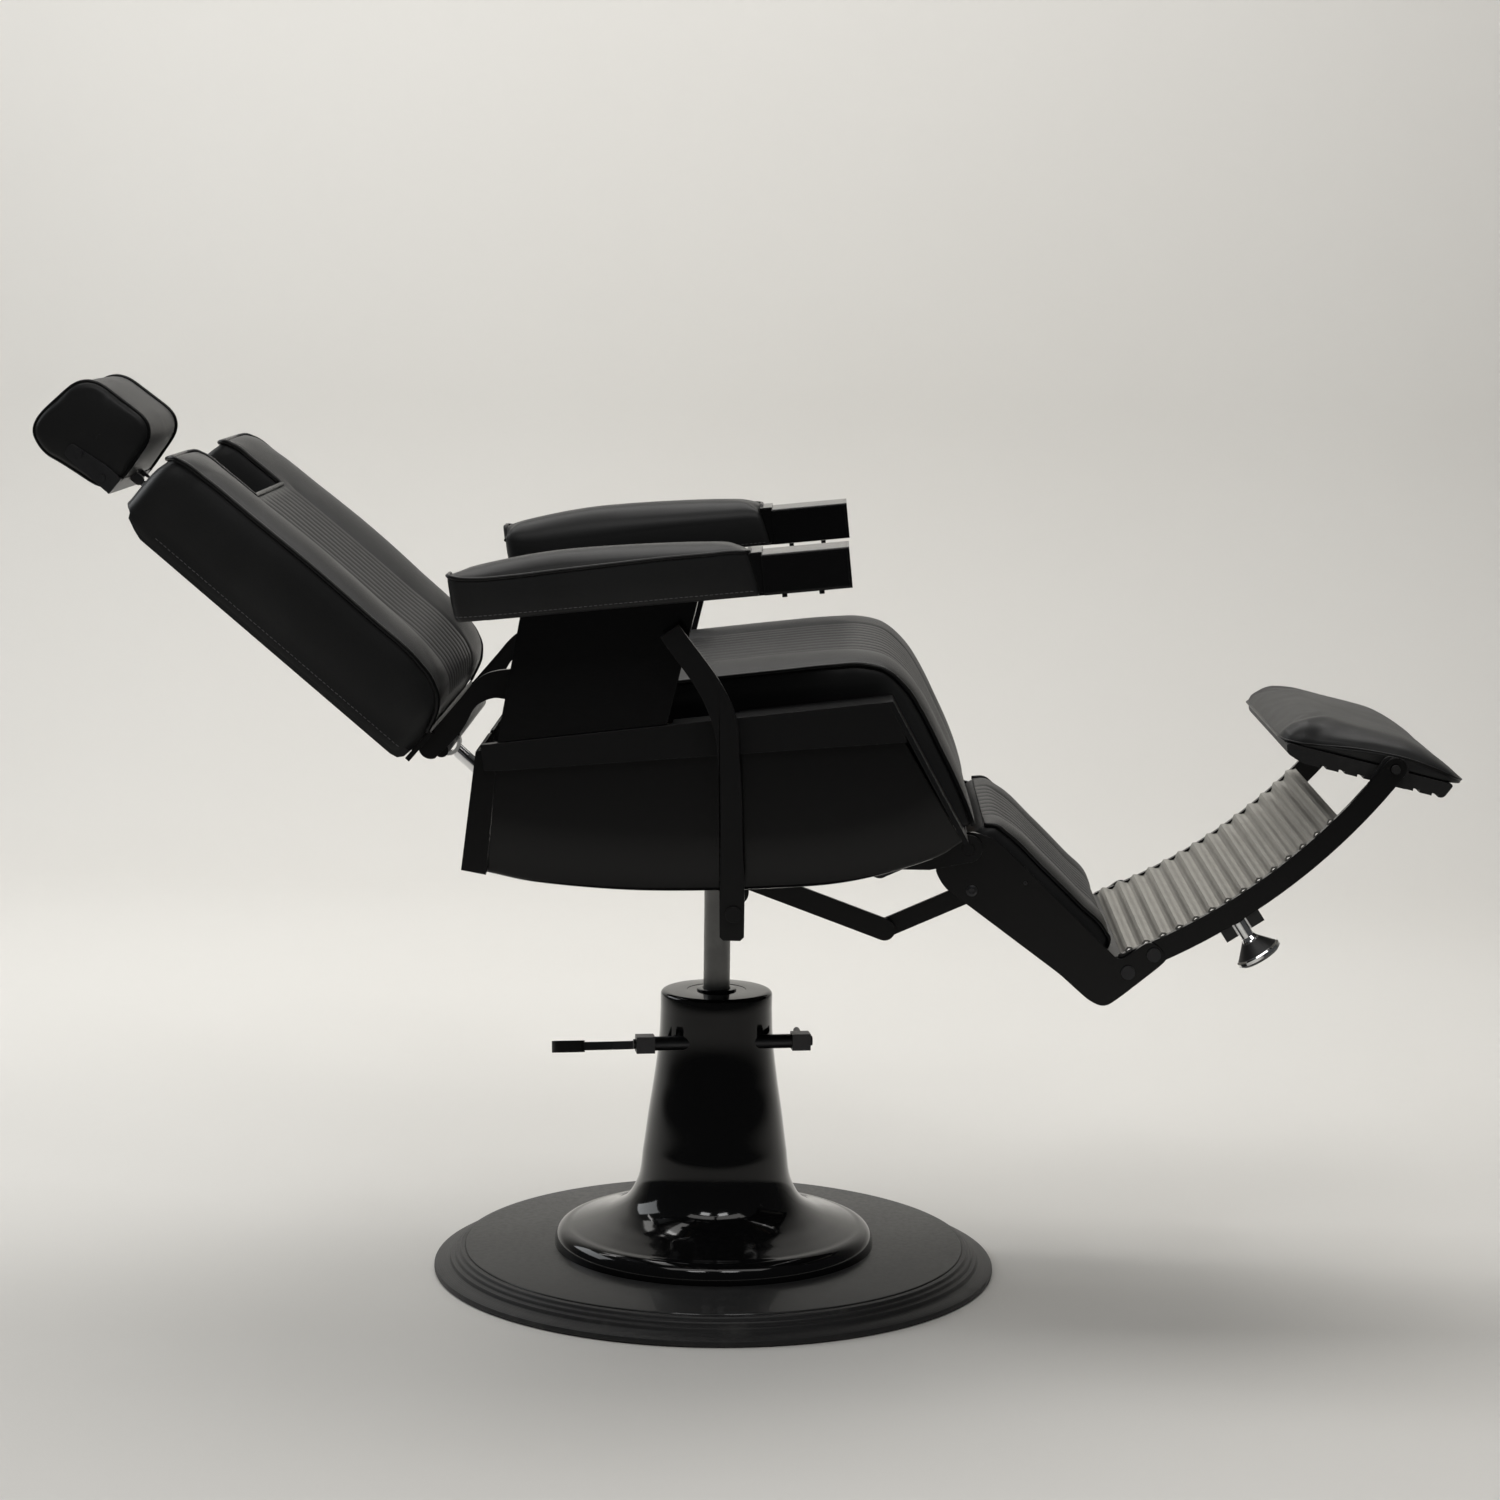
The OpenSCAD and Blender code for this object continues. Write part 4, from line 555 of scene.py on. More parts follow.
def turned(name, profile, sections=180):
    """Closed profile of radius and height carried round Z: x = r cos t, y = r sin t, z = z."""
    around = np.linspace(0, 2 * np.pi, sections, endpoint=False)[:, None]
    radius, height = np.array(profile, float).T[:, None]
    points = np.stack(np.broadcast_arrays(radius * np.cos(around), radius * np.sin(around), height), -1)
    piece = make_piece(name, points.reshape(-1, 3), grid_faces(*points.shape[:2], wrap=True, loop=True))
    outwards(piece, 30)
    return piece


neck_radius, foot_radius, plate_top, bell_height = 67.5, 194.0, 28, 314
flare = np.array([[0, 0.93], [0.01, 0.82], [0.055, 0.66], [0.107, 0.52], [0.152, 0.385], [0.215, 0.24],
                  [0.32, 0.172], [0.47, 0.132], [0.66, 0.102], [0.85, 0.078]])
bell_keys = np.stack([neck_radius + flare[:, 0] * (foot_radius - neck_radius),
                      plate_top + bell_height * flare[:, 1]], 1)
bell_run = run_of(bell_keys)
bell = through(bell_run, bell_keys, np.linspace(0, bell_run[-1], 90))
roll = np.linspace(0, np.pi / 2, 12)[1:]
low_radius, low_height = bell[-1]
lip_foot = 30
lip = np.stack([low_radius + (foot_radius - low_radius) * np.sin(roll),
                lip_foot + (low_height - lip_foot) * np.cos(roll)**0.8], 1)
crown = np.array([[35.8, 342], [61, 342], [63.5, 341.6], [65.6, 340.6], [67, 339], [67.5, 337]])
bell_inner = np.array([[foot_radius, 28.2], [186, 28.2], [186, 33], [130, 46], [94, 60], [78, 100],
                       [66, 200], [60, 320], [35.8, 330]])
pedestal = turned("pedestal_bell", np.concatenate([crown, bell, lip, bell_inner]))
put(pedestal, "base", enamel)
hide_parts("pedestal")
plate = turned("floor_plate", [[20, 3], [302.5, 3], [302.5, 26.6], [301.8, 27.6], [300.5, plate_top],
                               [20, plate_top]])
put(plate, "base", plate_paint)
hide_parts("base_plate")
bush = turned("ram_bush_turned", [
    [16.6, 330], [35.6, 330], [35.6, 341.6], [24, 341.6], [24, 343.2], [23.4, 343.9], [22.2, 344.2],
    [17.6, 344.2], [16.6, 343.4]], 96)
put(bush, "base", enamel)
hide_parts("ram_bush")
ring = turned("floor_ring_moulded", [
    [289, 0.4], [290, 0], [338.6, 0], [339.8, 1.0], [340, 2.4], [339.8, 5.2], [338.9, 6.8], [337, 7.9],
    [330, 9.8], [322.6, 11.6], [321.6, 12.2], [321.1, 13.4], [320.8, 15.2], [320.1, 16.2], [318.6, 16.8],
    [316.2, 17.2], [315.2, 17.8], [314.8, 19], [314.5, 20.4], [313.8, 21.3], [312.4, 21.7], [310.4, 22],
    [309.6, 22.6], [309.2, 23.8], [308.9, 24.8], [308.2, 25.6], [307, 26], [303.4, 26.4], [302.6, 26],
    [302.6, 20], [289, 19]])
put(ring, "base", ring_rubber)
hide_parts("floor_ring")
print("turned base has", sum(len(p.data.polygons) for p in (pedestal, bush, plate, ring)), "faces")

# %% [markdown]
# ## How a boxed cushion is sewn
# A boxed cushion has a top panel, a strip of boxing round its side, and a piped seam between them.
# The top is a grid with a crown and with pressed-in channels. The side is a row of rings that run
# down from the seam: drawn in under the piping, full in the middle and drawn in again at the foot.
# Building it from its sewing pattern keeps the seams where the sewing machine put them, so they
# can be held still while the cloth solver swells the rest.

# %% Frames that the pads are drawn in
def leaning(degrees):
    """Two unit vectors: one forwards that climbs by the angle, and one square to it, upwards."""
    angle = np.radians(degrees)
    return np.array([np.cos(angle), 0, np.sin(angle)]), np.array([-np.sin(angle), 0, np.cos(angle)])


class Place:
    """A flat frame: across, along and up are unit vectors, up is off the pad's foot."""

    def __init__(self, origin, along, up):
        self.origin = np.array(origin, float)
        self.along, self.up = unit(np.array(along, float)), unit(np.array(up, float))
        self.across = np.cross(self.along, self.up)

    def __call__(self, a, b, h):
        return (self.origin + a[..., None] * self.across + b[..., None] * self.along
                + h[..., None] * self.up)


def rim_of(rows, cols, notch=None):
    """Indices round the edge of a grid, anticlockwise. A notch is (first row, left and right column)."""
    at = np.arange(rows * cols).reshape(rows, cols)
    if notch is None:
        top = [at[-1, :-1][::-1]]
    else:
        floor, left, right = notch
        top = [at[-1, right:-1][::-1], at[floor:-1, right][::-1], at[floor, left:right][::-1],
               at[floor + 1:, left], at[-1, :left][::-1]]
    return np.concatenate([at[0, :], at[1:, -1], *top, at[1:-1, 0][::-1]])


def nearest(points, path):
    """Distance from each point to the closest point of a path, both in the pad's own plane."""
    gaps = points[:, None, :] - path[None, :, :]
    return np.sqrt((gaps**2).sum(-1).min(1))


print("frame and rim helpers ready")

# %% The boxed pad
side_profile = np.array([[0.0, 1.0], [-1.6, 0.955], [-1.2, 0.9], [0.75, 0.76], [1.0, 0.56], [0.92, 0.36],
                         [0.45, 0.17], [-0.4, 0.05], [-3.0, 0.0]])


def boxed_pad(name, plan, top, wall, place, bulge, side, skirt, rim, cells):
    """Top grid, side rings and foot of a pad. A side ring is the rim moved outwards by its outset
    and lowered to its share of the wall's height: point = rim + outset * outward normal. A skirt
    adds rings below the foot; it is (outsets and drops, scale of drop and of outset by rim point)."""
    rows, cols = top.shape
    flat = plan.reshape(-1, 2)
    edge = flat[rim]
    tangent = unit(np.roll(edge, -1, 0) - np.roll(edge, 1, 0))
    outward = np.stack([tangent[:, 1], -tangent[:, 0]], 1)
    high = wall.reshape(-1)[rim]
    fullness = np.clip(high / high.max(), 0.25, 1)
    outset = np.where(side[1:, :1] > 0, side[1:, :1] * bulge, side[1:, :1]) * fullness
    heights = side[1:, 1:] * high[None]
    if skirt is not None:
        turns, drop_scale, out_scale = skirt
        skirt_out = np.where(turns[:, :1] > 0, turns[:, :1] * out_scale, turns[:, :1])
        outset = np.concatenate([outset, skirt_out])
        heights = np.concatenate([heights, -turns[:, 1:] * drop_scale])
    rings = edge[None] + outset[..., None] * outward[None]
    points = np.concatenate([place(flat[:, 0], flat[:, 1], top.reshape(-1)),
                             place(rings[..., 0], rings[..., 1], heights).reshape(-1, 3)])
    lower = rows * cols + np.arange(rings.shape[0] * len(rim)).reshape(-1, len(rim))
    levels = np.concatenate([rim[None], lower])
    top_faces = grid_faces(rows, cols)
    if cells is not None:
        top_faces = top_faces[cells.reshape(-1)]
    all_faces = np.concatenate([top_faces, quads(levels, wrap=True)[:, ::-1]])
    used, faces = np.unique(all_faces, return_inverse=True)
    renamed = np.full(len(points), -1)
    renamed[used] = np.arange(len(used))
    piece = make_piece(name, points[used], faces.reshape(-1, 4), [renamed[lower[-1]][::-1]])
    held = np.zeros(len(points), bool)
    held[rim] = True
    held[lower[-3 if skirt is None else -len(skirt[0]) - 1:]] = True
    return piece, points, renamed, held, levels


print("a pad's side has", len(side_profile), "levels")


# %% Cords, stitches and cut plates
def tube(path, reference, radius, sides=10, closed=False):
    """Round tube: at each point a circle in the plane of reference x tangent and its other normal."""
    if closed:
        tangent = unit(np.roll(path, -1, 0) - np.roll(path, 1, 0))
    else:
        tangent = unit(np.gradient(path, axis=0))
    one = unit(np.cross(tangent, reference))
    two = np.cross(tangent, one)
    angle = np.linspace(0, 2 * np.pi, sides, endpoint=False)
    ring = np.cos(angle)[None, :, None] * one[:, None] + np.sin(angle)[None, :, None] * two[:, None]
    points = (path[:, None] + radius * ring).reshape(-1, 3)
    loop = np.arange(sides)
    ends = [] if closed else [loop[::-1], len(points) - sides + loop]
    return points, grid_faces(len(path), sides, wrap=True, loop=closed), ends


def joined(name, parts, sharp=None):
    """One piece from several (points, faces, ends) parts."""
    start = np.cumsum([0] + [len(p[0]) for p in parts])
    return make_piece(name, np.concatenate([p[0] for p in parts]),
                      np.concatenate([p[1] + s for p, s in zip(parts, start)]),
                      [loop + s for p, s in zip(parts, start) for loop in p[2]], sharp)


def stitches(path, outward, pitch=6.0, length=4.4, thick=0.55):
    """Sewn stitches on a path: every pitch a small spindle, thick in the middle, along the path."""
    run = run_of(path)
    at = np.arange(pitch, run[-1] - pitch, pitch)
    middle, out = along(path, run, at), unit(along(outward, run, at))
    forward = unit(along(path, run, at + 1) - middle)
    side = np.cross(out, forward)
    spots, thickness = np.array([-0.5, -0.32, 0.32, 0.5]), np.array([0.35, 1.0, 1.0, 0.35]) * thick
    angle = np.linspace(0, 2 * np.pi, 5, endpoint=False)
    ring = (np.cos(angle)[:, None] * side[:, None] + np.sin(angle)[:, None] * out[:, None])
    points = (middle[:, None, None] + forward[:, None, None] * (spots * length)[None, :, None, None]
              + thickness[None, :, None, None] * ring[:, None])
    count = len(middle)
    faces = (grid_faces(4, 5, wrap=True)[None] + 20 * np.arange(count)[:, None, None]).reshape(-1, 4)
    ends = [20 * i + loop for i in range(count) for loop in (np.arange(5)[::-1], 15 + np.arange(5))]
    return points.reshape(-1, 3), faces, ends


def cut_plate(name, outline, sides, bevel=1.4):
    """Plate cut from steel bar: one outline in x and z stands at two values of y, with a wall between."""
    count = len(outline)
    index = np.arange(count)
    parts = [(np.concatenate([np.insert(outline, 1, y, 1) for y in pair]), grid_faces(2, count, wrap=True),
              [index[::-1], index + count]) for pair in sides]
    piece = joined(name, parts, 35)
    outwards(piece)
    edit(piece.data, lambda work: bmesh.ops.dissolve_limit(work, angle_limit=np.radians(0.5),
                                                           verts=work.verts, edges=work.edges))
    edge = piece.modifiers.new("edge", "BEVEL")
    edge.width, edge.segments, edge.limit_method = bevel / 1000, 3, "ANGLE"
    edge.angle_limit, edge.harden_normals = np.radians(40), True
    return piece


print("cord, stitch and plate helpers ready")

# %% [markdown]
# ## The flat steelwork that bends
# The backrest hangs on two curved plates, and the recline lever is a bar cut square at its top. All
# are flat steel with edges just rounded enough to carry a thin line of light. Each is an outline of
# a few measured points, smoothed by a cubic curve, given its thickness and then bevelled. The heels
# of the arms and the board at the calf pad's end are cut in the same way, with straight sides.

# %% Neck plates, recline lever and arm heels
def arc(centre, radius, first, last, count):
    """Points on a circle from one angle to another, in degrees."""
    turn = np.radians(np.linspace(first, last, count))
    return np.array(centre) + radius * np.stack([np.cos(turn), np.sin(turn)], 1)


neck_upper = np.array([[-231, 755], [-247, 753], [-261, 748], [-273, 738], [-288, 720], [-305, 700],
                       [-324, 678]])
neck_lower = np.array([[-237, 721], [-249, 722], [-263, 717], [-272, 709], [-284, 687], [-299, 669],
                       [-310, 658]])
step = np.arange(len(neck_upper), dtype=float)
fine = np.linspace(0, step[-1], 37)
neck_outline = np.concatenate([arc([-196, 737], 20, -90, 90, 17), through(step, neck_upper, fine),
                               arc([-321, 665], 14, 130, 290, 15), through(step, neck_lower, fine)[::-1]])
necks = cut_plate("back_neck_plates", neck_outline, [(-232, -224), (224, 232)])
put(necks, "backrest", satin_paint)
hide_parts("back_neck_right", "back_neck_left")
left_z, left_x = [474, 520, 566, 669, 710, 735, 807], [13, 12.5, 13, 9, 3, -7, -56]
right_z, right_x = [474, 520, 567, 670, 731, 754, 821], [40, 40, 38, 33, 25, 13, -36]
left_at, right_at = np.linspace(474, 807, 41), np.linspace(474, 821, 41)
lever_outline = np.concatenate([np.stack([through(left_z, left_x, left_at), left_at], 1)[::-1],
                                [[17, 470], [36, 470]],
                                np.stack([through(right_z, right_x, right_at), right_at], 1)])
lever = cut_plate("recline_lever_bar", lever_outline, [(-352, -344)])
put(lever, "recline_lever", satin_paint)
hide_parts("recline_lever")
arm_front_x, arm_front_z = 154, 867
arm_run, arm_up = leaning(6.03)
heel = np.array([[-95, 3], [-95, 48], [-111, 48], [-101, 3]])
heel_outline = np.array([arm_front_x, arm_front_z]) + heel @ np.array([arm_run, arm_up])[:, ::2]
heels = cut_plate("arm_heels", heel_outline, [(-379, -301), (301, 379)], 0.8)
put(heels, "chair", gloss_paint)
board_outline = np.array([[438, 423.0], [471, 431.5], [472, 427.5], [440, 419]])
end_board = cut_plate("calf_end_board", board_outline, [(-201, 201)], 0.8)
put(end_board, "legrest", satin_paint)


def screw_heads(spots, face):
    """Button screws on a plate: a ring profile (radius, height) carried round each spot's own axis."""
    profile = np.array([[1, -0.3], [1, 0.9], [0.82, 1.7], [0.52, 2.0], [0.44, 0.9], [0.08, 0.7]])
    loop = np.arange(24)
    angle = np.radians(15 * loop)
    parts = []
    for x, z, radius in spots:
        for way in (-1, 1):
            ring = radius * profile[:, :1]
            points = np.stack(np.broadcast_arrays(x + ring * np.cos(angle), way * (face + profile[:, 1:]),
                                                  z + ring * np.sin(angle)), -1).reshape(-1, 3)
            ends = [loop[::-1], len(points) - len(loop) + loop]
            parts.append((points, grid_faces(len(profile), len(loop), wrap=True), ends))
    return parts


plate_screws = joined("legrest_screws", screw_heads([(297, 505, 6.5), (358, 515, 2.2)], 209), 30)
outwards(plate_screws)
put(plate_screws, "legrest", black_oxide)
print("plates cut:", len(neck_outline), "and", len(lever_outline), "points in their outlines")

# %% [markdown]
# ## Swelling the covers
# Real covers are cut tight and pushed out by foam. Blender's cloth solver does that with pressure:
# the sewn lines are pinned, gravity is off, and twenty frames are enough. What each point moved is
# then eased to a limit, so a cushion never swells into the steel next to it.

# %% Cloth
def positions(mesh):
    """A row of x, y and z in metres for each point of a mesh."""
    flat = np.zeros(len(mesh.vertices) * 3)
    mesh.vertices.foreach_get("co", flat)
    return flat.reshape(-1, 3)


def swell(piece, held, limit):
    """Pressure on a pinned cover. Each move d becomes limit * tanh(d / limit) along itself."""
    pressure, frames = 4.0, 20
    rest = positions(piece.data)
    group = piece.vertex_groups.new(name="sewn")
    group.add(np.flatnonzero(held).tolist(), 1.0, "REPLACE")
    cloth = piece.modifiers.new("cover", "CLOTH")
    made = cloth.settings
    made.quality, made.mass, made.air_damping = 5, 0.25, 3.0
    made.tension_stiffness = made.compression_stiffness = 12.0
    made.shear_stiffness, made.bending_stiffness = 6.0, 0.4
    made.use_pressure, made.uniform_pressure_force = True, pressure
    made.vertex_group_mass = "sewn"
    made.effector_weights.gravity = 0.0
    cloth.collision_settings.use_collision = False
    cloth.point_cache.frame_start, cloth.point_cache.frame_end = 1, frames
    scene = bpy.context.scene
    for frame_number in range(1, frames + 1):
        scene.frame_set(frame_number)
    settled = positions(piece.evaluated_get(bpy.context.evaluated_depsgraph_get()).data)
    piece.modifiers.remove(cloth)
    piece.vertex_groups.remove(group)
    scene.frame_set(1)
    move = (settled - rest) * 1000
    far = np.linalg.norm(move, axis=1, keepdims=True)
    eased = unit(move) * limit * np.tanh(far / limit)
    piece.data.vertices.foreach_set("co", (rest + eased / 1000).reshape(-1))
    piece.data.update()
    return float(far.max())


def finer(piece):
    """One level of subdivision for a soft outline."""
    level = piece.modifiers.new("finer", "SUBSURF")
    level.levels = level.render_levels = 1


print("cloth is", "on")


# %% Sewn pads and their channels
def sewn_pad(name, plan, top, wall, place, bulge, limit, sewn=False, side=side_profile, skirt=None,
             rim=None, cells=None):
    """A boxed pad swollen between its sewn lines. Returns the piece, its points and its rings."""
    rim = rim_of(*top.shape) if rim is None else rim
    piece, points, renamed, held, rings = boxed_pad(name, plan, top, wall, place, bulge, side, skirt,
                                                    rim, cells)
    held[:top.size] |= np.ravel(sewn)
    moved = swell(piece, held[renamed >= 0], limit)
    points[renamed >= 0] = positions(piece.data) * 1000
    finer(piece)
    print(name, "points", len(points), "cloth moved up to", round(moved, 1), "mm")
    return piece, points, rings


def channel_columns(field, half, count, border):
    """Columns across a pad: six a channel, closest at the sewn lines, and a plain border each side."""
    width = 2 * field / count
    shares = np.array([0, 0.08, 0.26, 0.5, 0.74, 0.92])
    inner = (-field + width * (np.arange(count)[:, None] + shares)).reshape(-1)
    plain = np.linspace(field, half, border + 1)
    return np.concatenate([-plain[:0:-1], inner, plain])


def channel_press(a, field, count, depth):
    """Depth of the channels: depth * (1 - |sin(pi * a / width)|^0.4) inside the sewn field."""
    width = 2 * field / count
    press = depth * (1 - np.abs(np.sin(np.pi * (a + field) / width))**0.4)
    return np.where(np.abs(a) <= field + 1e-6, press, 0)


def bolsters(a, field, half, crest, sink):
    """Height of the plain borders beside a sewn field. With s running 0 to 1 from field to seam it is
    crest * sin(pi * s^1.3), less sink * (1 - s)^4, so the field lies low between two soft rolls."""
    s = np.clip((np.abs(a) - field) / (half - field), 0, 1)
    return crest * np.sin(np.pi * s**1.3) - sink * (1 - s)**4


def channelled(wall, crown, loss, a, field, half, count, depth, crest, full):
    """Top of a channelled pad: wall + (crown - loss) * (1 - (a / half)^4), plus the bolsters where the
    crown is full, less the channels, and less 1.8 * exp(-(gap / 5)^2) at a gap from the piping."""
    return (wall + (crown - loss) * (1 - (np.abs(a) / half)**4)
            + bolsters(a, field, half, crest, 2.0) * np.clip(crown / full, 0, 1)
            - channel_press(a, field, count, depth) - 1.8 * np.exp(-((half - np.abs(a)) / 5)**2))


def sewn_lines(b, border, below=np.inf):
    """Points that the channels' seams hold down: every sixth column inside the borders."""
    lines = np.zeros(b.shape, bool)
    lines[:, border:-border:6] = b[:, border:-border:6] < below
    return lines


# Cords default to the piping vinyl, whose darker colour is a painted shade.
def sew_on(name, body, parts, finish=piping_vinyl_painted_shade):
    """Puts cords or stitches on a body as one piece."""
    put(joined(name, parts), body, finish)


print("sewing helpers ready")

# %% [markdown]
# ## The seat cushion
# The seat is one long cover that starts under the backrest, lies on the board and falls over its
# bent front. Its channels run from back to front, its two sides are boxed and piped. The grid
# is laid along the board's profile: each row has a foot on the board and a lean away from it.

# %% Seat cushion
deck = np.array([[-172, 3, 0.88, 0], [-160, 0, 0.98, 4], [-120, -2, 1, 8], [-60, -3, 1, 9], [10, -3, 1, 9],
                 [80, -2, 1, 9], [135, 0, 1, 8], [163, 6, 0.97, 7]])
fall = np.array([[0, 14, 39, 7], [0.1, 30, 33, 7], [0.25, 37, 27, 7], [0.48, 40, 21, 6], [0.7, 42, 16, 5],
                 [0.88, 43, 9, 3], [0.985, 43, 3, 1]])


def rail_height(x):
    """Height of the belt rail's line, which climbs forwards by 6.96 degrees."""
    return 711.4 + np.tan(np.radians(6.96)) * x


bend, low = np.array([181, rail_height(181) - 8]), np.array([256, 583.0])
board_out = np.array([-(low - bend)[1], (low - bend)[0]]) / np.linalg.norm(low - bend)
board_drop, seat_thick = 7.7, 49
deck_keys = np.stack([deck[:, 0], rail_height(deck[:, 0]) - board_drop, deck[:, 1],
                      seat_thick * deck[:, 2], deck[:, 3]], 1)
fall_feet = bend + (low - bend) * fall[:, :1] + 0.3 * board_out
fall_keys = np.concatenate([fall_feet, fall[:, 1:]], 1)
seat_keys = np.concatenate([deck_keys, fall_keys])
key_tops = seat_keys[:, :2] + seat_keys[:, 2:4]
key_run = run_of(key_tops + seat_keys[:, :2]) / 2
seat_length = key_run[-1]


def seat_place(a, b, h):
    """Foot of the row at b plus h along its lean; a runs across the chair to the near side."""
    row = through(key_run, seat_keys, b)
    lean = unit(row[..., 2:4])
    past = b - np.clip(b, 0, seat_length)
    first, last = np.array([-1.0, -0.12]), np.array([0.466, -0.885])
    side = np.where(past[..., None] < 0, -first, last) * past[..., None]
    spot = row[..., :2] + lean * h[..., None] + side
    return np.stack([spot[..., 0], -a, spot[..., 1]], -1)


seat_field, seat_half, seat_count, seat_border = 145.0, 248.0, 10, 16
seat_columns = channel_columns(seat_field, seat_half, seat_count, seat_border)
seat_rows = spaced([0, 14, 30, 300, 420, seat_length - 12, seat_length], [3.5, 5, 6.5, 5.0, 5.5, 4.0])
seat_b, seat_a = np.meshgrid(seat_rows, seat_columns, indexing="ij")
seat_row = through(key_run, seat_keys, seat_b)
seat_wall = np.linalg.norm(seat_row[..., 2:4], axis=-1)
seat_top = channelled(seat_wall, seat_row[..., 4], 1.5, seat_a, seat_field, seat_half, seat_count, 2.2,
                      4.0, 9)
seat_plan = np.stack([seat_a, seat_b], -1)
seat, seat_points, _ = sewn_pad("seat_cover", seat_plan, seat_top, seat_wall, seat_place, 3.0, 3.0,
                                sewn_lines(seat_b, seat_border))
put(seat, "chair", cover_vinyl)
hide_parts("seat_cushion")

# %% [markdown]
# ## Piping
# Piping is a cord wrapped in the same vinyl and caught in the seam. Its vinyl is made darker than
# the cover's, a painted shade for the dark crease beside the cord. It is drawn as a round tube that
# follows the seam's own points after the cover has swollen, so it can't leave its seam.

# %% Seat piping
sideways = np.array([0.0, 1.0, 0.0])


def edge_cords(points, shape, radius, lifted):
    """Cords along the first and the last column of a pad's top. lifted moves a seam to its cord."""
    grid = points[:shape[0] * shape[1]].reshape(*shape, 3)
    return [tube(lifted(grid[:, column], side), sideways, radius) for column, side in ((0, 1), (-1, -1))]


def seat_lifted(line, side):
    return line + side * sideways + unit(np.cross(np.gradient(line, axis=0), -sideways)) * 1.2


sew_on("seat_piping", "chair", edge_cords(seat_points, seat_a.shape, 3.0, seat_lifted))
print("seat piping follows", len(seat_rows), "rows a side")

# %% [markdown]
# ## The backrest
# The back cushion has the same build, and a notch in its top that the headrest drops into. In the
# grid the notch is a block of cells left out. The rim then walks round it, and gets its boxing and
# its piping like any other edge. The cover rolls over the lower end without a seam.

# %% Back cushion
back_keys = np.array([[-3, 0.3, 0, 0.97], [3, 0.58, 1, 0.99], [12, 0.76, 2, 1], [28, 0.89, 3, 1],
                      [55, 0.97, 4, 1], [130, 1, 6, 1], [215, 1.01, 7, 1], [300, 0.99, 6, 1],
                      [370, 0.97, 4, 1], [402, 0.93, 2, 1], [412, 0.87, 1, 0.985], [416, 0.8, 0, 0.965]])
back_axes = [-0.76267, 0, 0.64679], [0.64679, 0, 0.76267]
board_thick = 18.6
flat_place = Place([-354, 0, 654], *back_axes)
back_place = Place(flat_place.origin + board_thick * flat_place.up, *back_axes)
back_field, back_half, back_count, back_border = 128.0, 255.0, 10, 20
back_straight, back_top_end, notch_half, notch_floor = 219.0, 416, 106.0, 325.0
back_columns = channel_columns(back_field, back_half, back_count, back_border)
notch_left = int(np.argmin(np.abs(back_columns + notch_half)))
notch_right = int(np.argmin(np.abs(back_columns - notch_half)))
back_columns[[notch_left, notch_right]] = -notch_half, notch_half
back_rows = spaced([-3, 6, 40, notch_floor, 395, back_top_end], [2.0, 5.0, 6.5, 6.0, 2.4])
floor_row = int(np.argmin(np.abs(back_rows - notch_floor)))
back_b, back_v = np.meshgrid(back_rows, back_columns, indexing="ij")
back_row = through(back_keys[:, 0], back_keys, back_b)
drawn = back_half * back_row[..., 3] - 0.8 * rounding(16, back_b - (back_top_end - 16))
inner = notch_half + 0.8 * rounding(12, back_b - (back_top_end - 12))
size = np.abs(back_v)
outer_share = (size - back_straight) / (back_half - back_straight)
horn_share = (size - notch_half) / (back_straight - notch_half)
in_horn = (size >= notch_half) & (back_b > notch_floor)
inside = np.where(in_horn, inner + horn_share * (back_straight - inner), size)
outside = back_straight + outer_share * (drawn - back_straight)
back_a = np.sign(back_v) * np.where(size > back_straight, outside, inside)
back_plan = np.stack([back_a, back_b], -1)
back_rim = rim_of(*back_a.shape, (floor_row, notch_left, notch_right))
back_wall = 83.0 * back_row[..., 1]
bottom_count = len(back_columns)
piped = np.concatenate([back_rim[bottom_count - 1:], back_rim[:1]])
from_piping = nearest(back_plan.reshape(-1, 2), back_plan.reshape(-1, 2)[piped]).reshape(back_a.shape)
shoulder = 1 - np.exp(-(from_piping / 16)**2)
below_notch = np.clip((notch_floor - 4 - back_b) / 12, 0, 1)
back_channels = channel_press(back_v, back_field, back_count, 2.6) * np.clip(from_piping / 14, 0, 1)
back_top = (back_wall + back_row[..., 2] / 7 * bolsters(back_v, back_field, back_half, 9.0, 3.5)
            + 2.2 * shoulder - back_channels * below_notch - 2.0 * np.exp(-(from_piping / 5)**2))
cell_a = (back_columns[1:] + back_columns[:-1]) / 2
cell_b = (back_rows[1:] + back_rows[:-1]) / 2
back_cells = ~((np.abs(cell_a)[None, :] < notch_half) & (cell_b[:, None] > notch_floor))
straight_side = np.array([[0.0, 1.0], [-1.6, 0.955], [-1.2, 0.9], [0.75, 0.76], [1.0, 0.56], [1.0, 0.36],
                          [0.9, 0.17], [0.85, 0.03]])
hem_turns = np.array([[3.2, 4], [3.2, 10], [2.6, 15], [0, 19.5], [-5, 21.3], [-12, 21.6], [-13, 3.0]])
shell_rear = np.interp(back_b.reshape(-1)[back_rim], [-3, -2, 3, 12, 380, 392, 405, 408, 416],
                       [14, 6, 0, -2, -2, 2, 8, 14, 15])
at_foot = np.arange(len(back_rim)) < bottom_count
hem_skirt = (hem_turns, (board_thick - shell_rear + 1) / hem_turns[:, 1].max(), np.where(at_foot, 0.2, 1.0))
back, back_points, back_rings = sewn_pad("back_cover", back_plan, back_top, back_wall, back_place, 4.0, 3.0,
                                         sewn_lines(back_b, back_border, notch_floor), straight_side,
                                         hem_skirt, back_rim, back_cells)
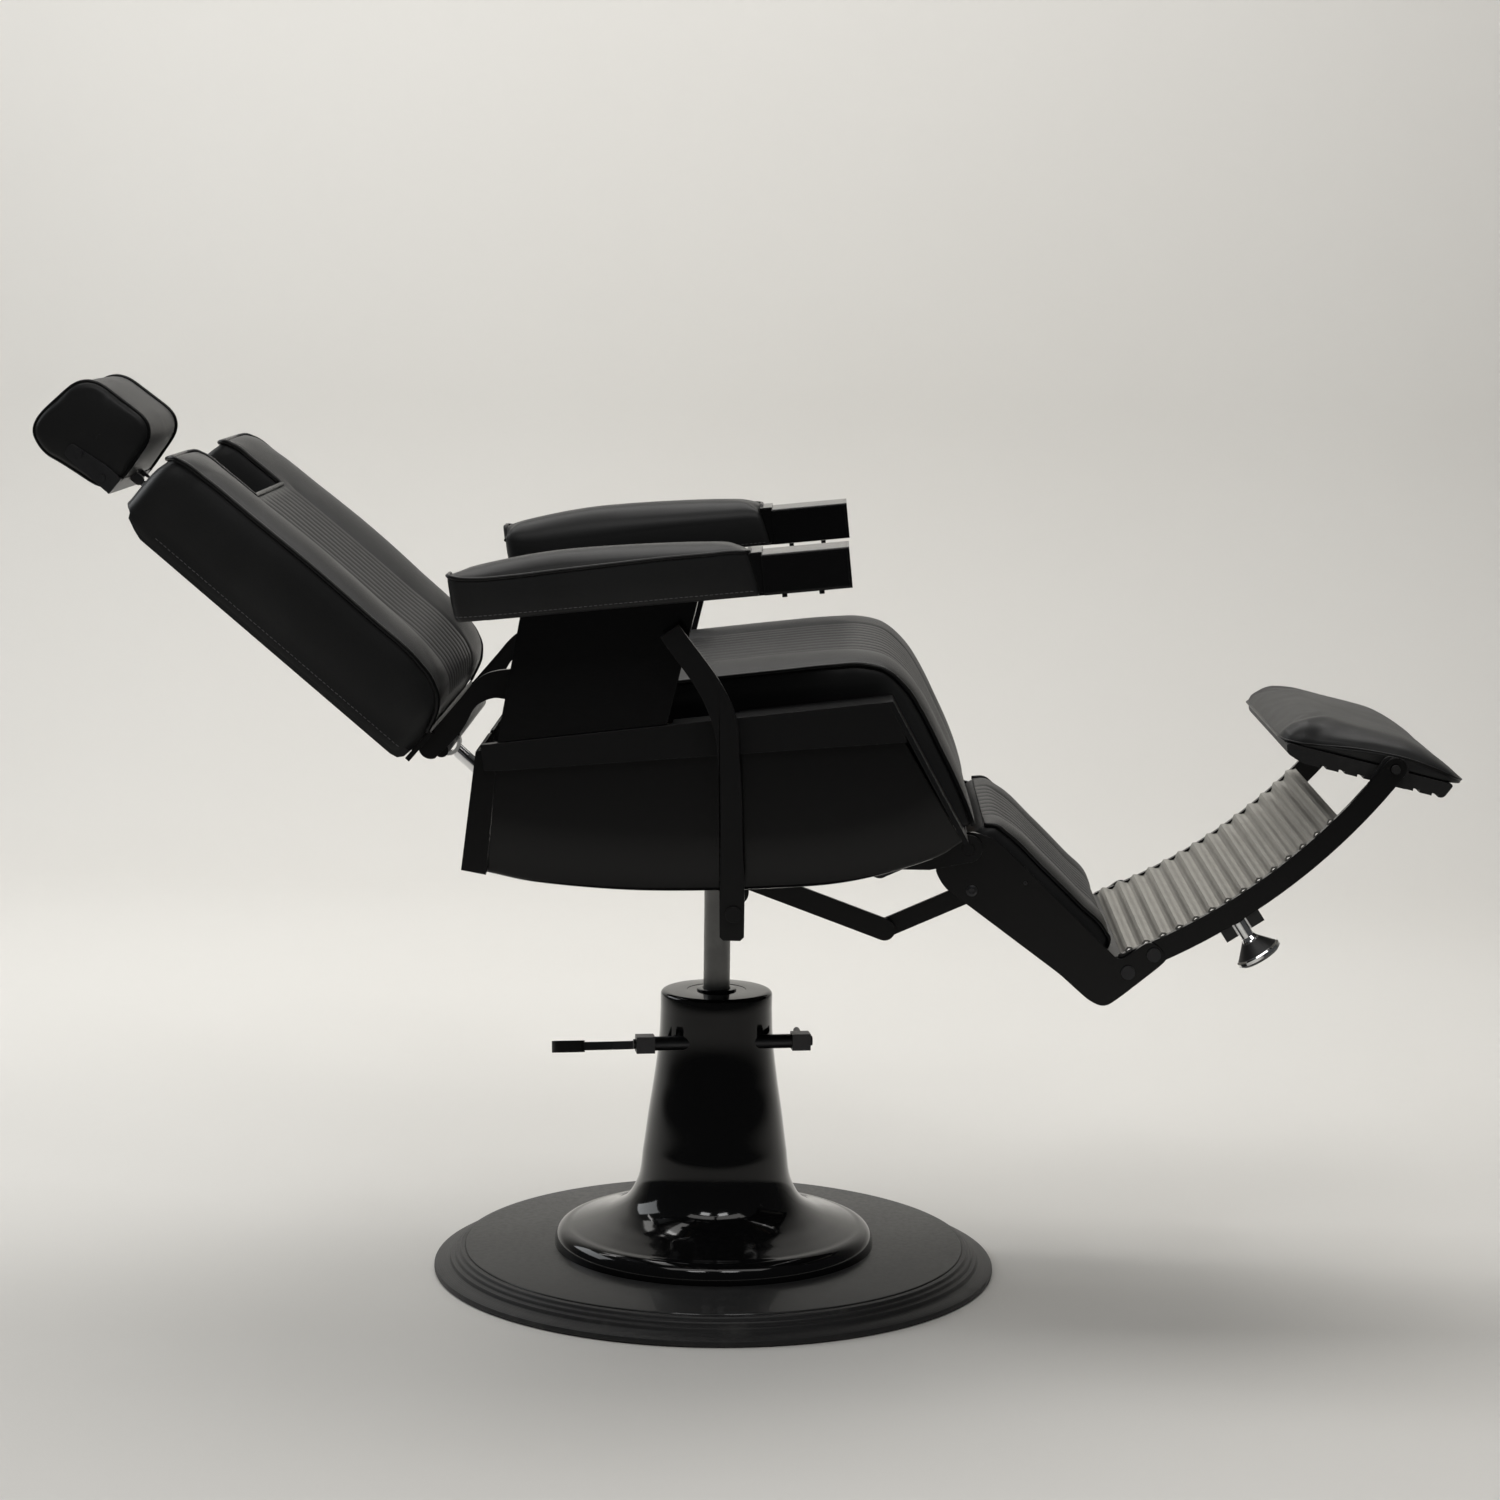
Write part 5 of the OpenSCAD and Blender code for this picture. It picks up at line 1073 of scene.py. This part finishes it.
put(back, "backrest", cover_vinyl)
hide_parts("back_cushion")

# %% Back piping and the seam near its hem
seam = back_points[piped]
seam_out = unit(np.cross(unit(np.gradient(seam, axis=0)), back_place.up))
sew_on("back_piping", "backrest", [tube(seam + seam_out * 0.8 + back_place.up, back_place.up, 3.0)])
upper_turn = back_points[back_rings[len(straight_side)]][bottom_count + 4:]
lower_turn = back_points[back_rings[len(straight_side) + 1]][bottom_count + 4:]
right_run = slice(0, len(back_rows) - 12)
left_run = slice(len(upper_turn) - len(back_rows) + 14, len(upper_turn) - 4)
hem_seams = []
for run in (right_run, left_run):
    line = upper_turn[run] * 0.35 + lower_turn[run] * 0.65
    out = unit(np.cross(unit(np.gradient(line, axis=0)), back_place.up))
    hem_seams.append(stitches(line + out * 0.35, out))
sew_on("back_stitches", "backrest", hem_seams, stitch_thread)
print("back seam runs", len(seam), "points, stitches", sum(len(t[0]) for t in hem_seams) // 20)

# %% [markdown]
# ## The calf pad and the foot pad
# The calf pad is a small sister of the seat: channels, two piped sides, rolled ends. The foot pad
# is plain and crowned, thickest near its heel end, with piping all round its top.

# %% Calf pad
calf_keys = np.array([[0, 0.62, 0, 0.97], [0.025, 0.85, 2, 0.99], [0.08, 0.97, 5, 1], [0.3, 1, 7, 1],
                      [0.6, 1, 8, 1], [0.88, 0.98, 6, 1], [0.96, 0.9, 3, 0.99], [1, 0.7, 0, 0.97]])
leg_front, leg_up = leaning(45.8)
calf_place = Place(np.array([292, 0, 555]) + 1.8 * leg_front, leg_up, leg_front)
calf_field, calf_half, calf_count, calf_border = 112.0, 191.0, 8, 12
calf_columns = channel_columns(calf_field, calf_half, calf_count, calf_border)
calf_rows = spaced([-199.5, -190, -170, -30, -8, 2.5], [2.4, 4, 6.5, 4, 2.2])
calf_b, calf_v = np.meshgrid(calf_rows, calf_columns, indexing="ij")
calf_row = through(calf_keys[:, 0], calf_keys, (calf_b + 199.5) / 202)
calf_a = calf_v * np.where(np.abs(calf_v) > 157, calf_row[..., 3], 1)
calf_wall = 41.0 * calf_row[..., 1]
calf_top = channelled(calf_wall, calf_row[..., 2], 1.0, calf_v, calf_field, calf_half, calf_count, 2.0,
                      3.0, 8)
calf_plan = np.stack([calf_a, calf_b], -1)
calf, calf_points, _ = sewn_pad("calf_cover", calf_plan, calf_top, calf_wall, calf_place, 1.6, 2.2,
                                sewn_lines(calf_b, calf_border))
put(calf, "legrest", cover_vinyl)
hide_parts("calf_pad")
sew_on("calf_piping", "legrest",
       edge_cords(calf_points, calf_a.shape, 2.7, lambda line, side: line + leg_front))

# %% Foot pad
foot_keys = np.array([[0, 0.95, 0.3, 22], [0.02, 0.98, 0.3, 24], [0.08, 1, 0.4, 28], [0.2, 1, 0.75, 26],
                      [0.37, 1, 1.4, 19], [0.55, 1, 1.75, 16], [0.68, 1, 1.8, 15], [0.85, 1, 1.35, 9],
                      [0.95, 0.98, 0.9, 5], [1, 0.95, 0.65, 3]])
foot_run, foot_up = leaning(-13.3)
foot_place = Place(np.array([776.04, 0, 652.26]) - 1.7 * foot_up, foot_run, foot_up)


def plain_pad(name, keys, start, length, half, height, place, crown_loss, corner, bulge, limit, step=6.5,
              shoulder=None, roll=0, side=side_profile):
    """Pad without channels: the wall and the crown follow the keys, and the plan's corners are round:
    half width = half - r + sqrt(r^2 - (r - d)^2) where d is the distance from the pad's end. With a
    shoulder the crown rises on a quarter circle. roll is the side that turns over without a seam."""
    rows = start + spaced([0, corner, length - corner, length], [step * 0.45, step, step * 0.45])
    near_edge = 1 - (1 - np.cos(np.linspace(0, np.pi / 2, 7)[:-1])) * 0.16
    middle = np.linspace(-0.84, 0.84, int(1.68 * half / step))
    columns = np.concatenate([-near_edge, middle, near_edge[::-1]])
    b, v = np.meshgrid(rows, columns, indexing="ij")
    row = through(keys[:, 0], keys, (b - start) / length)
    end = np.minimum(b - start, start + length - b)
    a = v * (half * row[..., 1] - 0.75 * rounding(corner, corner - end))
    plan = np.stack([a, b], -1)
    wall = height * row[..., 2]
    from_rim = nearest(plan.reshape(-1, 2), plan.reshape(-1, 2)[rim_of(*a.shape)]).reshape(a.shape)
    if shoulder:
        rise = np.sqrt(1 - (1 - np.clip(from_rim / shoulder, 0, 1))**2)
    else:
        rise = 1 - (1 - np.clip(from_rim / (0.8 * half), 0, 1))**2.6
    rolled = np.clip(roll * v / 0.3 - 0.7, 0, 1)
    wall = wall - 0.8 * rolled * rounding(22, 22 - from_rim)
    top = (wall + np.maximum(row[..., 3] - crown_loss, 0) * rise
           - 1.8 * np.exp(-(from_rim / 4)**2) * (1 - rolled))
    piece, points, rings = sewn_pad(name, plan, top, wall, place, bulge, limit, side=side)
    count, seam = len(rows), points[rings[0]]
    if roll > 0:
        seam = np.roll(seam, -(len(columns) + count - 1), axis=0)
    return piece, points, rings, seam[:len(seam) - count + 2] if roll else seam


foot, _, _, foot_seam = plain_pad("foot_cover", foot_keys, -132, 216, 187, 9, foot_place, 0.0, 26.0, 1.0,
                                  3.0, shoulder=46)
put(foot, "foot_pad", cover_vinyl)
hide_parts("foot_cushion")
sew_on("foot_piping", "foot_pad", [tube(foot_seam + foot_up * 0.4, foot_up, 1.5, closed=True)])

# %% [markdown]
# ## The arm pads
# An arm pad is a boxed bolster on a steel spine: square at the front, where it meets the painted
# box, and rounded at the back. Its front face slopes, so the frame here leans with height.

# %% Arm pads
arm_keys = np.array([[0.0, 0.985, 1.0, 4], [0.04, 1, 1.03, 7], [0.13, 1, 1.03, 10], [0.3, 1, 1.03, 13],
                     [0.5, 1, 1.0, 17], [0.66, 1, 0.97, 19], [0.8, 0.98, 0.94, 17], [0.91, 0.94, 0.95, 12],
                     [0.97, 0.87, 1.0, 7], [1, 0.76, 1.06, 1]])


def arm_place(side):
    """Frame of one arm: b runs back from the box, and a point at height h lies 0.21 h further back
    near the front end and 0.06 h further back behind it."""
    def place(a, b, h):
        slope = np.interp(b, [0, 40, 100], [0.21, 0.19, 0.063])
        back_by = -96 - b - slope * (h - 2)
        return (np.array([arm_front_x, 340.0 * side, arm_front_z]) + back_by[..., None] * arm_run
                + h[..., None] * arm_up + a[..., None] * sideways)
    return place


arm_side = np.concatenate([[[0, 1.0], [0.35, 0.955], [0.6, 0.9], [0.9, 0.76]], side_profile[4:]])
for side, word in ((-1, "right"), (1, "left")):
    pad, pad_points, pad_rings, pad_seam = plain_pad("arm_cover_" + word, arm_keys, 3.4, 336.6, 41.0, 50,
                                                     arm_place(side), 2.0, 9.0, 1.2, 2.6, 5.0, roll=-side,
                                                     side=arm_side)
    put(pad, "chair", cover_vinyl)
    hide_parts("arm_pad_" + word)
    sew_on("arm_piping_" + word, "chair", [tube(pad_seam + arm_up * 0.6, arm_up, 2.4)])
    hem = pad_points[pad_rings[-2]] * 0.4 + pad_points[pad_rings[-3]] * 0.6
    hem_out = unit(np.cross(unit(np.roll(hem, -1, 0) - np.roll(hem, 1, 0)), arm_up))
    sew_on("arm_stitches_" + word, "chair", [stitches(hem + hem_out * 0.3, hem_out, 5.5, 4.0, 0.45)],
           stitch_thread)

# %% [markdown]
# ## The headrest
# The headrest is a bolster: one wrap round a rounded outline, and an end panel piped on at each
# side. The outline's corners are eased, then it is carried across the chair and drawn in a
# little at the seams. The end panels swell like small cushions.

# %% Headrest
head_outline = np.array([[-12, 460], [76, 468], [70, 563], [-12, 574], [-25, 545], [-19, 520.0]])


def eased_outline(corners, reach, count):
    """Closed outline with each corner replaced by a parabola of the given reach, evenly spaced."""
    before, after = np.roll(corners, 1, 0), np.roll(corners, -1, 0)
    leave = np.minimum(reach, np.linalg.norm(before - corners, axis=1) / 2.05)[:, None]
    join = np.minimum(reach, np.linalg.norm(after - corners, axis=1) / 2.05)[:, None]
    p, q = corners + unit(before - corners) * leave, corners + unit(after - corners) * join
    t = np.linspace(0, 1, 9)[None, :, None]
    curve = p[:, None] * (1 - t)**2 + corners[:, None] * 2 * t * (1 - t) + q[:, None] * t**2
    closed = np.concatenate([curve.reshape(-1, 2), curve[0, :1]])
    run = run_of(closed)
    return along(closed, run, np.linspace(0, run[-1], count, endpoint=False))


head_centre = np.array([25.0, 517.0])
head_ring = eased_outline(head_centre + (head_outline - head_centre) * 1.1, 30, 96)
half_stops = np.array([-95, -93.5, -91, -88.5, -87.4, -84, -72, -50, 0])
half_share = np.array([0.88, 0.93, 0.965, 0.985, 0.972, 0.984, 0.994, 1.0, 1.01])
head_stops = np.concatenate([half_stops, -half_stops[-2::-1]])
head_share = np.concatenate([half_share, half_share[-2::-1]])
head_y = np.concatenate([head_stops[:5], spaced([-84, -72, 72, 84], [5, 6, 5]), head_stops[-5:]])
head_scale = np.interp(head_y, head_stops, head_share)
cap_share = np.array([0.80, 0.66, 0.5, 0.33, 0.16])
head_half, cap_tuck, width_share = 95, 2.5, 0.985
cap_y = head_half + np.array([1.2, 2.2, 2.9, 3.3, 3.5]) - cap_tuck
all_share = np.concatenate([cap_share[::-1], head_scale, cap_share])
all_y = np.concatenate([-cap_y[::-1], head_y, cap_y]) * width_share
around = head_centre + (head_ring[None] - head_centre) * all_share[:, None, None]
head_points = flat_place(np.broadcast_to(all_y[:, None], around.shape[:2]), around[..., 1], around[..., 0])
rings, spokes = around.shape[:2]
spoke = np.arange(spokes)
head = make_piece("headrest_cover", head_points.reshape(-1, 3), grid_faces(rings, spokes, wrap=True),
                  [spoke[::-1], (rings - 1) * spokes + spoke])
outwards(head)
head_held = np.zeros((rings, spokes), bool)
seam_rows = [len(cap_share) + 4, rings - len(cap_share) - 5]
head_held[seam_rows] = True
moved = swell(head, head_held.reshape(-1), 2.4)
head_now = positions(head.data).reshape(rings, spokes, 3) * 1000
finer(head)
put(head, "headrest", cover_vinyl)
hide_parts("headrest_pad")
head_cords = []
for row, side in zip(seam_rows, (-1, 1)):
    loop = head_now[row]
    away = unit(loop - loop.mean(0))
    head_cords.append(tube(loop + away * 0.9 + 0.6 * side * sideways, sideways, 2.5, closed=True))
sew_on("headrest_piping", "headrest", head_cords)
print("headrest moved up to", round(moved, 1), "mm")

# %% [markdown]
# ## The housing shells
# The tub round the seat frame is a tall gloss moulding with its foot turned in. The CAD shows it
# with flat facets, which gloss paint would give away at once, so it is lofted again with many more
# sections along the same curve and a rounder foot.

# %% Housing shells
tub_keys = np.array([[-249.7, 533], [-190, 522], [-78, 515], [56, 519], [157, 529], [246, 555],
                     [282.7518, 576.0918]])
key_at = np.arange(len(tub_keys), dtype=float)
sections = 73
tub_feet = through(key_at, tub_keys, np.linspace(0, key_at[-1], sections))
tub_x = np.linspace(-236.7, 192.3, sections)
tub_heads = np.stack([tub_x, rail_height(tub_x) - 6.5], 1)
quarter = np.linspace(0, np.pi / 2, 9)
outer_foot = np.stack([314 - 18 + 18 * np.sin(quarter), 70 - 70 * np.cos(quarter)], 1)
inner_foot = np.stack([306 - 15 + 15 * np.sin(quarter[::-1]), 72 - 66 * np.cos(quarter[::-1])], 1)
tub_section = np.concatenate([[[306, -1]], inner_foot, [[265, 6]], [[265, 0]], outer_foot, [[314, -1]]])
rise = np.linalg.norm(tub_heads - tub_feet, axis=1)
lean = (tub_heads - tub_feet) / rise[:, None]
up_by = np.where(tub_section[None, :, 1] < 0, rise[:, None], tub_section[None, :, 1])
tub_spot = tub_feet[:, None] + lean[:, None] * up_by[..., None]
corner = np.arange(len(tub_section))
for side, word in ((-1, "right"), (1, "left")):
    y = np.broadcast_to(tub_section[:, 0] * side, up_by.shape)
    tub_points = np.stack([tub_spot[..., 0], y, tub_spot[..., 1]], -1)
    shell = make_piece("housing_shell_" + word, tub_points.reshape(-1, 3),
                       grid_faces(*up_by.shape, wrap=True), [corner, (sections - 1) * len(corner) + corner])
    outwards(shell, 32)
    put(shell, "chair", gloss_paint)
    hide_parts("housing_" + word)
print("housing shells have", sections, "sections")
